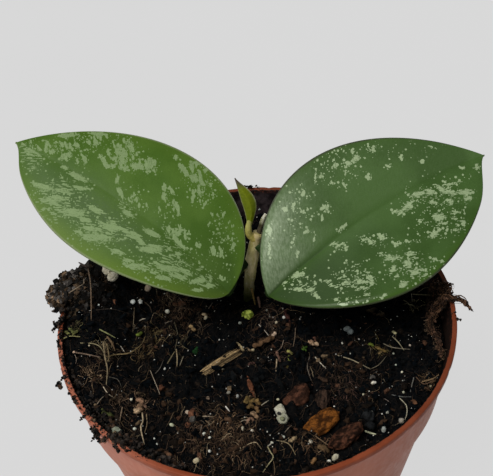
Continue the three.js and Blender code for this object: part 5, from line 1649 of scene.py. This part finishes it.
# Scraps of wood, moss and husk that show in the photograph: both ends as x and y, half width, colour
SCRAPS = [
    ((237, 342), (243.5, 350.5), 0.36, (0.34, 0.26, 0.14)),
    ((253, 347), (274, 336.5), 0.58, (0.095, 0.052, 0.026)),
    ((272, 336), (276, 332.5), 0.62, (0.62, 0.45, 0.32)),
    ((195.5, 354), (200, 347), 0.75, (0.009, 0.04, 0.01)),
    ((308.5, 340), (312, 345), 0.5, (0.32, 0.2, 0.12)),
    ((312, 345), (317.5, 343), 0.55, (0.36, 0.24, 0.15)),
    ((314, 336.5), (315.5, 341.5), 0.42, (0.1, 0.045, 0.03)),
    ((311, 339.5), (313.5, 342.5), 0.45, (0.22, 0.13, 0.08)),
    ((247.3, 375.5), (254.5, 397.5), 0.36, (0.2, 0.068, 0.034)),
    ((302, 350), (307, 346), 0.3, (0.045, 0.09, 0.012)),
    ((302.5, 346), (306.5, 351), 0.26, (0.05, 0.095, 0.014)),
    ((288, 350), (292.5, 355), 0.36, (0.22, 0.2, 0.06)),
    ((289.5, 355), (290, 362), 0.4, (0.1, 0.11, 0.022)),
    ((286.5, 367), (291, 368.5), 0.55, (0.11, 0.085, 0.018)),
    ((244, 403), (250, 397), 0.6, (0.12, 0.08, 0.028)), ((249, 404), (257, 398), 0.7, (0.15, 0.095, 0.032)),
    ((255, 400), (261, 405), 0.6, (0.19, 0.115, 0.042)), ((247, 408), (254, 405), 0.5, (0.09, 0.055, 0.02)),
    ((256, 406), (259, 412), 0.45, (0.14, 0.08, 0.035)),
    ((251.5, 412), (255, 415), 0.6, (0.34, 0.22, 0.13)),
    ((254, 414), (257.5, 418.5), 0.5, (0.26, 0.16, 0.09)),
    ((250, 417), (254, 421), 0.4, (0.14, 0.08, 0.05)),
    ((187.5, 428), (193.5, 408.5), 0.62, (0.12, 0.05, 0.027)),
    ((136, 400.5), (140, 398.5), 0.45, (0.22, 0.13, 0.08)),
    ((134.5, 409), (138, 412.5), 0.62, (0.4, 0.28, 0.17)),
    ((138, 411), (142.5, 408), 0.62, (0.28, 0.17, 0.1)),
    ((140.5, 399), (142.5, 404), 0.5, (0.26, 0.15, 0.09)),
    ((139.5, 403.5), (141, 408), 0.5, (0.2, 0.12, 0.07)),
    ((144, 404), (146, 408), 0.35, (0.12, 0.07, 0.045)),
    ((91, 408), (104, 411.5), 0.6, (0.05, 0.055, 0.016)),
    ((101, 411), (114, 417), 0.5, (0.042, 0.046, 0.014)),
    ((64, 331), (69.5, 334), 0.34, (0.15, 0.15, 0.05)),
    ((69, 327.5), (73.5, 333), 0.3, (0.13, 0.14, 0.045)), ((72, 335), (78, 330.5), 0.3, (0.12, 0.12, 0.04)),
    ((136.5, 336), (142.5, 331.5), 0.5, (0.085, 0.11, 0.018)),
    ((113.5, 300), (116, 304), 0.5, (0.1, 0.042, 0.022)),
    ((368, 343.5), (374.5, 346), 0.4, (0.14, 0.17, 0.028)),
    ((375, 346.5), (386, 352), 0.42, (0.13, 0.085, 0.028)),
    ((378, 354), (384, 350), 0.26, (0.15, 0.1, 0.045)), ((393, 331), (396, 334), 0.36, (0.4, 0.36, 0.2)),
    ((411.5, 401.5), (416.5, 404), 0.62, (0.12, 0.055, 0.028)),
    ((362, 415), (375, 420), 1.2, (0.012, 0.0125, 0.013)),
    ((366, 424), (374, 428), 0.9, (0.008, 0.0085, 0.009)),
    ((371, 383.5), (376, 381.8), 0.3, (0.7, 0.66, 0.58)),
    ((288.5, 442), (296.5, 436.5), 0.5, (0.25, 0.18, 0.1)),
    ((318, 445), (329.5, 452), 0.62, (0.095, 0.058, 0.028)),
    ((312, 465), (316, 457), 0.42, (0.16, 0.085, 0.035)),
    ((165.5, 452), (171, 456), 0.6, (0.13, 0.065, 0.035)),
    ((190, 325), (194.5, 331), 0.5, (0.32, 0.21, 0.1)),
    ((202.5, 313.5), (206.5, 316), 0.42, (0.42, 0.31, 0.19)),
    ((276, 351), (280.5, 362), 0.3, (0.12, 0.065, 0.045)),
    ((160, 385), (163.5, 389), 0.55, (0.16, 0.065, 0.035)),
    ((248, 365), (255, 362.5), 0.35, (0.07, 0.035, 0.028)),
    ((366, 311), (377, 309), 0.6, (0.05, 0.032, 0.018)),
    ((376, 316), (384, 313), 0.6, (0.06, 0.038, 0.022)),
    ((318.5, 377), (327, 382), 0.55, (0.045, 0.026, 0.016)),
    ((284.5, 310), (290, 322), 0.45, (0.055, 0.022, 0.018)),
    ((245.5, 425), (250, 417.5), 0.3, (0.2, 0.12, 0.08)), ((226, 417), (233, 424), 0.6, (0.1, 0.055, 0.03)),
]
SCRAP_GRID = (16, 12)


def make_scraps(material):
    rng = np.random.default_rng(67)
    parts, tones = [], []
    for first, last, half_wide, tone in SCRAPS:
        lift = 0.5 + 0.5 * half_wide
        line = smooth_line([on_soil(first, lift), on_soil(last, lift)], SCRAP_GRID[0])
        widths = half_wide * (0.8 + 0.4 * rng.random(7))
        widths[0], widths[-1] = 0.35 * half_wide, 0.3 * half_wide
        points, faces = tube(line, widths, SCRAP_GRID[1], flat=0.7)
        points = bumpy(points, line, 0.6 * half_wide, 1.1 * half_wide + 0.2, 3.0 * rng.random())
        mottle = np.clip(0.5 + 0.8 * fuzz(points, 0.6, 3, 2.0), 0, 1)[:, None]
        parts.append((points, faces))
        tones.append(np.array(tone) * (0.45 + 1.0 * mottle))
    make_joined("scraps", parts, tones, material)


# Stem, stub and young shoot

STEM_LINE = [(-2, 7.7, 46), (-1.3, 7.9, 63), (-0.95, 8, 70), (0.1, 8, 78), (1.35, 8, 84), (2, 8.2, 85.6)]
STEM_RADII = [1.2, 1.25, 1.25, 1.2, 1.4, 1.25]
STUB_LINE = [(1.7, 8.2, 83.6), (2.3, 8.6, 86.2), (3.1, 9.6, 88), (3.95, 10.4, 89.2)]
STUB_RADII = [0.75, 0.5, 0.48, 0.42]
STALK_LINE = [(0.9, 7.8, 84.5), (0, 7.6, 86), (-0.15, 7.6, 87.8), (0.2, 7.9, 89.8), (0.5, 8.1, 91.2)]
STALK_RADII = [1, 0.75, 0.7, 0.55, 0.2]
# The folded young leaf in its own upright plane: height, left edge, fold line and right edge
YOUNG_LEAF = np.array([
    (87.6, -0.25, 0.05, 0.45), (89, -0.35, 0.3, 0.85), (90.4, -0.45, 0.55, 1.25), (91.8, -0.6, 0.8, 1.6),
    (93.2, -0.8, 0.9, 1.95), (95, -1.15, 0.75, 1.95), (96.8, -1.45, 0.3, 1.45), (98.4, -1.7, -0.5, 0.6),
    (99.8, -1.9, -1.25, -0.55), (101, -2.1, -1.85, -1.55), (101.9, -2.3, -2.22, -2.15),
])
YOUNG_LEAF_Y = 8
YOUNG_LEAF_THICK = 0.18
YOUNG_LEAF_GRID = (60, 25)
# Rings, and points round a ring, of the stem, its stub and the stalk of the shoot
STEM_GRID = (150, 28)
STUB_GRID = (60, 20)
STALK_GRID = (60, 20)
# Colours, or tints where the material has a colour of its own, and the heights between which they change
STEM_FOOT = (0.06, 0.08, 0.02)
STEM_FOOT_SPAN = (67, 74)
STEM_TOP_SHADE = np.array([0.2, 0.24, 0.32])
STEM_TOP_SPAN = (82, 84.5)
STUB_TONES = ((0.13, 0.12, 0.13), (1.5, 1.65, 2.5))
STUB_SPAN = (87.5, 88.7)
STALK_TONES = ((0.44, 0.36, 0.09), (0.36, 0.35, 0.11))
STALK_SPAN = (85, 90)
YOUNG_GREEN = np.array([0.165, 0.205, 0.002])
YOUNG_LIGHT = np.array([0.03, 0.035, 0.01])
YOUNG_RIM = (0.36, 0.36, 0.17)
YOUNG_TIP = (0.10, 0.075, 0.06)
YOUNG_TIP_SPAN = (99, 101.2)
# Share of the young leaf's half width where its rim starts
YOUNG_RIM_START = 0.82


def make_stem(material):
    """The stem, dark at its foot and lightened at its middle by painted light, and the dry cut stub on top
    of it.
    """
    line = smooth_line(STEM_LINE, STEM_GRID[0])
    points, faces = tube(line, STEM_RADII, STEM_GRID[1])
    points = bumpy(points, line, 0.10, 1.6)
    height = points[:, 2:3]
    # Painted light lightens the middle of the stem
    tones = blend(ramp(height, *STEM_FOOT_SPAN), STEM_FOOT, 1 + 0.6 * peak(height, 77, 4))
    tones = tones * (1 - STEM_TOP_SHADE * ramp(height, *STEM_TOP_SPAN))
    line = smooth_line(STUB_LINE, STUB_GRID[0])
    stub, stub_faces = tube(line, STUB_RADII, STUB_GRID[1])
    stub = bumpy(stub, line, 0.14, 0.9, 4.0)
    stub_tones = blend(ramp(stub[:, 2:3], *STUB_SPAN), *STUB_TONES)
    parts = [(points, faces), (stub, stub_faces)]
    piece = make_joined("stem_and_stub", parts, [tones, stub_tones], material)
    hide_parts("stem")


def young_leaf_outline():
    """Heights and the left edge, fold line and right edge of the young leaf, smoothed."""
    rows = YOUNG_LEAF_GRID[0]
    edge = np.stack([YOUNG_LEAF[:, 1], np.zeros(len(YOUNG_LEAF)), YOUNG_LEAF[:, 0]], 1)
    heights = smooth_line(edge, rows)[:, 2]
    kernel = np.ones(5) / 5
    sides = (np.interp(heights, YOUNG_LEAF[:, 0], YOUNG_LEAF[:, k]) for k in (1, 2, 3))
    return heights, *(np.convolve(np.pad(side, 2, "edge"), kernel, "valid") for side in sides)


def make_shoot(material):
    """The stalk of the shoot, and its young leaf folded round a crease."""
    line = smooth_line(STALK_LINE, STALK_GRID[0])
    stalk, stalk_faces = tube(line, STALK_RADII, STALK_GRID[1])
    stalk = bumpy(stalk, line, 0.05, 1.2)
    stalk_tones = blend(ramp(stalk[:, 2:3], *STALK_SPAN), *STALK_TONES)
    columns = YOUNG_LEAF_GRID[1]
    across = np.linspace(0, 1, columns)
    rim = ramp(np.abs(across - 0.5) * 2, YOUNG_RIM_START, 1)[:, None]
    front, back, tones = [], [], []
    for height, left, fold, right in zip(*young_leaf_outline()):
        width = right - left
        crest = (fold - left) / max(width, 1e-6)
        bulge = 0.55 * width * np.sin(math.pi * across) ** 0.8 * 0.5
        crease = 0.05 * width * peak(across, crest, 0.12)
        x, level = left + width * across, np.full(columns, height)
        front.append(np.stack([x, YOUNG_LEAF_Y - bulge - crease, level], 1))
        back.append(np.stack([x, YOUNG_LEAF_Y + YOUNG_LEAF_THICK + 0.5 * bulge, level], 1))
        body = YOUNG_GREEN * (1 - 0.3 * np.abs(across - 0.62))[:, None]
        body += YOUNG_LIGHT * (across < crest)[:, None]
        body = blend(rim, body, YOUNG_RIM)
        tones.append(blend(ramp(height, *YOUNG_TIP_SPAN), body, YOUNG_TIP))
    leaf, leaf_faces = closed_loft(np.concatenate([np.array(front), np.array(back)[:, ::-1]], 1))
    tones = np.concatenate([np.array(tones), np.array(tones)[:, ::-1]], 1).reshape(-1, 3)
    tones = np.concatenate([tones, tones[:1], tones[-1:]])
    parts = [(stalk, stalk_faces), (leaf, leaf_faces)]
    piece = make_joined("shoot", parts, [stalk_tones, tones], material)
    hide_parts("young_shoot")


# Roots over the right side of the lip: points and radii of each core

ROOT_LINES = [
    ([(40.8, -11.6, 61), (40.2, -8.2, 63.8), (38.9, -4.8, 65.8), (39.9, -2.6, 67.5), (42.6, -0.6, 69.5),
      (45, -1.1, 69.7), (46.8, -1.4, 69), (48.3, -2.4, 67.5), (49, -3.1, 66.9)],
     [0.35, 0.42, 0.36, 0.45, 1.0, 0.75, 0.45, 0.2, 0.03]),
    ([(41, 6.4, 61.4), (41.4, 5, 66.6), (43.2, 2.6, 69.6), (43.8, 0, 69.9)], [0.5, 0.6, 0.9, 0.6]),
]
ROOT_STEPS = 120
ROOT_RINGS = 22
WOUND_FIBRES = 130
# Lengths of the wound fibres in steps of the core, and how far one winds in radians
WOUND_LENGTHS = (14, 50)
WOUND_TURN = 4.2
LOOSE_FIBRES = 90
ROOT_CRUMBS = 330
WOUND_TONE = np.array([0.078, 0.039, 0.020])
LOOSE_TONE = np.array([0.10, 0.065, 0.038])
ROOT_CRUMB_TONE = np.array([(0.075, 0.038, 0.022)])


def make_root_clump(material):
    """Matted roots: each core is hidden in many fine fibres that wind along it and fray."""
    rng = np.random.default_rng(59)
    lines, radii, tones, centres, sizes = [], [], [], [], []
    for points, widths in ROOT_LINES:
        core = smooth_line(points, ROOT_STEPS)
        widths = along_line(widths, ROOT_STEPS)
        for _ in range(WOUND_FIBRES):
            length = rng.integers(*WOUND_LENGTHS)
            first = rng.integers(0, ROOT_STEPS - length)
            span = np.linspace(first, first + length - 1, ROOT_RINGS).astype(int)
            turn = 2 * math.pi * rng.random() + rng.normal(0, WOUND_TURN) * np.linspace(0, 1, ROOT_RINGS)
            wide = widths[span] * (0.1 + 1.05 * rng.random() ** 0.8)
            sway = np.stack([np.cos(turn), 0.7 * np.sin(turn), np.sin(turn + 1)], 1) * wide[:, None]
            fray = np.cumsum(rng.normal(0, 0.20, (ROOT_RINGS, 3)), 0)
            lines.append(core[span] + sway + fray * np.clip(widths[span], 0, 0.8)[:, None])
            radii.append(0.05 + 0.15 * rng.random() ** 2)
            tones.append(WOUND_TONE * (0.08 + 1.9 * rng.random() ** 2.2))
        share = rng.integers(4, ROOT_STEPS - 4, ROOT_CRUMBS)
        centres.append(core[share] + rng.normal(0, 0.70, (ROOT_CRUMBS, 3)) * widths[share, None])
        sizes.append(0.10 + 0.34 * rng.random(ROOT_CRUMBS) ** 2)
    centres, sizes = over_lip(np.concatenate(centres)), np.concatenate(sizes)
    shapes, faces = crumbs(rng, centres, sizes, 0.7 + 0.6 * rng.random((len(sizes), 3)), 0.5)
    shades = ROOT_CRUMB_TONE * (0.15 + 1.6 * rng.random((len(sizes), 1)) ** 2)
    make_piece("root_crumbs", shapes, faces, material, False, colours=shades)
    for _ in range(LOOSE_FIBRES):
        anchor = smooth_line(ROOT_LINES[rng.integers(0, 2)][0], ROOT_STEPS)[rng.integers(5, 95)]
        drift = np.cumsum(rng.normal(0, 0.20, (ROOT_RINGS, 3)), 0)
        drift[:, 2] = -np.abs(drift[:, 2]) * 0.8
        lines.append(anchor + drift)
        radii.append(0.04 + 0.04 * rng.random())
        tones.append(LOOSE_TONE * (0.4 + rng.random()))
    lines = np.array(lines)
    lines = over_lip(lines.reshape(-1, 3)).reshape(lines.shape)
    clump = thin_tubes("draped_roots", lines, np.array(radii), np.array(tones), material)
    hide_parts("root_clump")


# Light, floor and colour of the picture

FLOOR_SIZE = 3.0
FLOOR_COLOUR = (0.03, 0.03, 0.03, 1)
FLOOR_GLOW = (0.655, 0.665)
SKY_COLOUR = (0.88, 0.95, 1.0, 1)
SKY_STRENGTH = 0.2
SUN_COLOUR = (1.0, 0.99, 0.97)
SUN_ENERGY = 2.7
SUN_SPREAD = math.radians(34)
SUN_TURN = math.radians(-48)
SUN_TILT = math.radians(28)


def make_stage():
    mesh = bpy.data.meshes.new("floor")
    corners = [(x * FLOOR_SIZE, y * FLOOR_SIZE, 0) for x, y in ((-1, -1), (1, -1), (1, 1), (-1, 1))]
    mesh.from_pydata(corners, [], [(0, 1, 2, 3)])
    s = Shader("floor", Roughness=1.0, Specular_IOR_Level=0.0)
    s.shader.inputs["Base Color"].default_value = FLOOR_COLOUR
    s.shader.inputs["Emission Color"].default_value = (1.0, 1.0, 1.0, 1)
    glow = s.span(s.noise(s.place(), 0.004, 2.0), 0.3, 0.7, *FLOOR_GLOW)
    mesh.materials.append(s.set(Emission_Strength=glow))
    floor = bpy.data.objects.new("floor", mesh)
    bpy.context.scene.collection.objects.link(floor)

    world = bpy.data.worlds.new("studio")
    world.use_nodes = True
    background = world.node_tree.nodes["Background"]
    background.inputs["Color"].default_value = SKY_COLOUR
    background.inputs["Strength"].default_value = SKY_STRENGTH
    bpy.context.scene.world = world
    light = bpy.data.lights.new("window", "SUN")
    light.energy, light.angle = SUN_ENERGY, SUN_SPREAD
    light.color = SUN_COLOUR
    window = bpy.data.objects.new("window", light)
    window.matrix_world = Matrix.Rotation(SUN_TURN, 4, "Z") @ Matrix.Rotation(SUN_TILT, 4, "X")
    bpy.context.scene.collection.objects.link(window)
    settings = bpy.context.scene.view_settings
    settings.view_transform, settings.look = "Standard", "None"
    settings.exposure, settings.gamma = 0.0, 1.0


make_stage()
make_pot(plastic_material())
make_bed(soil_material())
LOOSE = toned_material("loose_mix", 0.9)
make_crumbs(LOOSE)
make_heaps(LOOSE)
make_clots(LOOSE)
FIBRE = toned_material("fibre", 0.75, 0.15)
make_fibres(FIBRE)
make_tangles(FIBRE)
make_strands(FIBRE)
make_root_clump(FIBRE)
make_grains(perlite_material())
BARK = toned_material("bark", 0.8, 0.08, 2.6, 0.28)
make_scraps(BARK)
TENDER = tender_material()
for chip_name in CHIPS:
    make_chip(chip_name, TENDER if chip_name == "green_bud" else BARK)
make_splinter_grain(BARK)
make_stem(stem_material())
make_shoot(TENDER)
# The left leaf's sheen colour is painted sheen, and its pale rim a painted lit edge
LEFT_GREEN = leaf_material(
    "leaf_left", deep=(0.055, 0.118, 0.012), light=(0.078, 0.150, 0.020), fleck=(0.225, 0.315, 0.135),
    margin=(0.112, 0.185, 0.020), sheen=(0.072, 0.122, 0.040), rim=(0.30, 0.34, 0.19),
    rib=(0.125, 0.185, 0.075), gloss=0.13, stretch=1.3, solid=1.0, spray=0.43, spread_to=(-0.02, 0.68),
    scatter=0.07,
)
# The right leaf's pale sheen colour is painted sheen, and its dark rib colour painted shade in the crease
RIGHT_GREEN = leaf_material(
    "leaf_right", deep=(0.042, 0.086, 0.019), light=(0.058, 0.114, 0.028), fleck=(0.31, 0.395, 0.215),
    margin=(0.048, 0.105, 0.012), sheen=(0.40, 0.47, 0.32), rim=(0.050, 0.045, 0.035),
    rib=(0.015, 0.030, 0.007), gloss=0.06, stretch=1.8, solid=1.045, spray=0.52, spread_to=(-0.06, 0.58),
    scatter=0.0,
)
make_leaf("leaf_left", LEFT_GREEN, LEFT_SPLASHES, LEFT_DRIZZLE)
make_leaf("leaf_right", RIGHT_GREEN, RIGHT_SPLASHES, RIGHT_DRIZZLE)
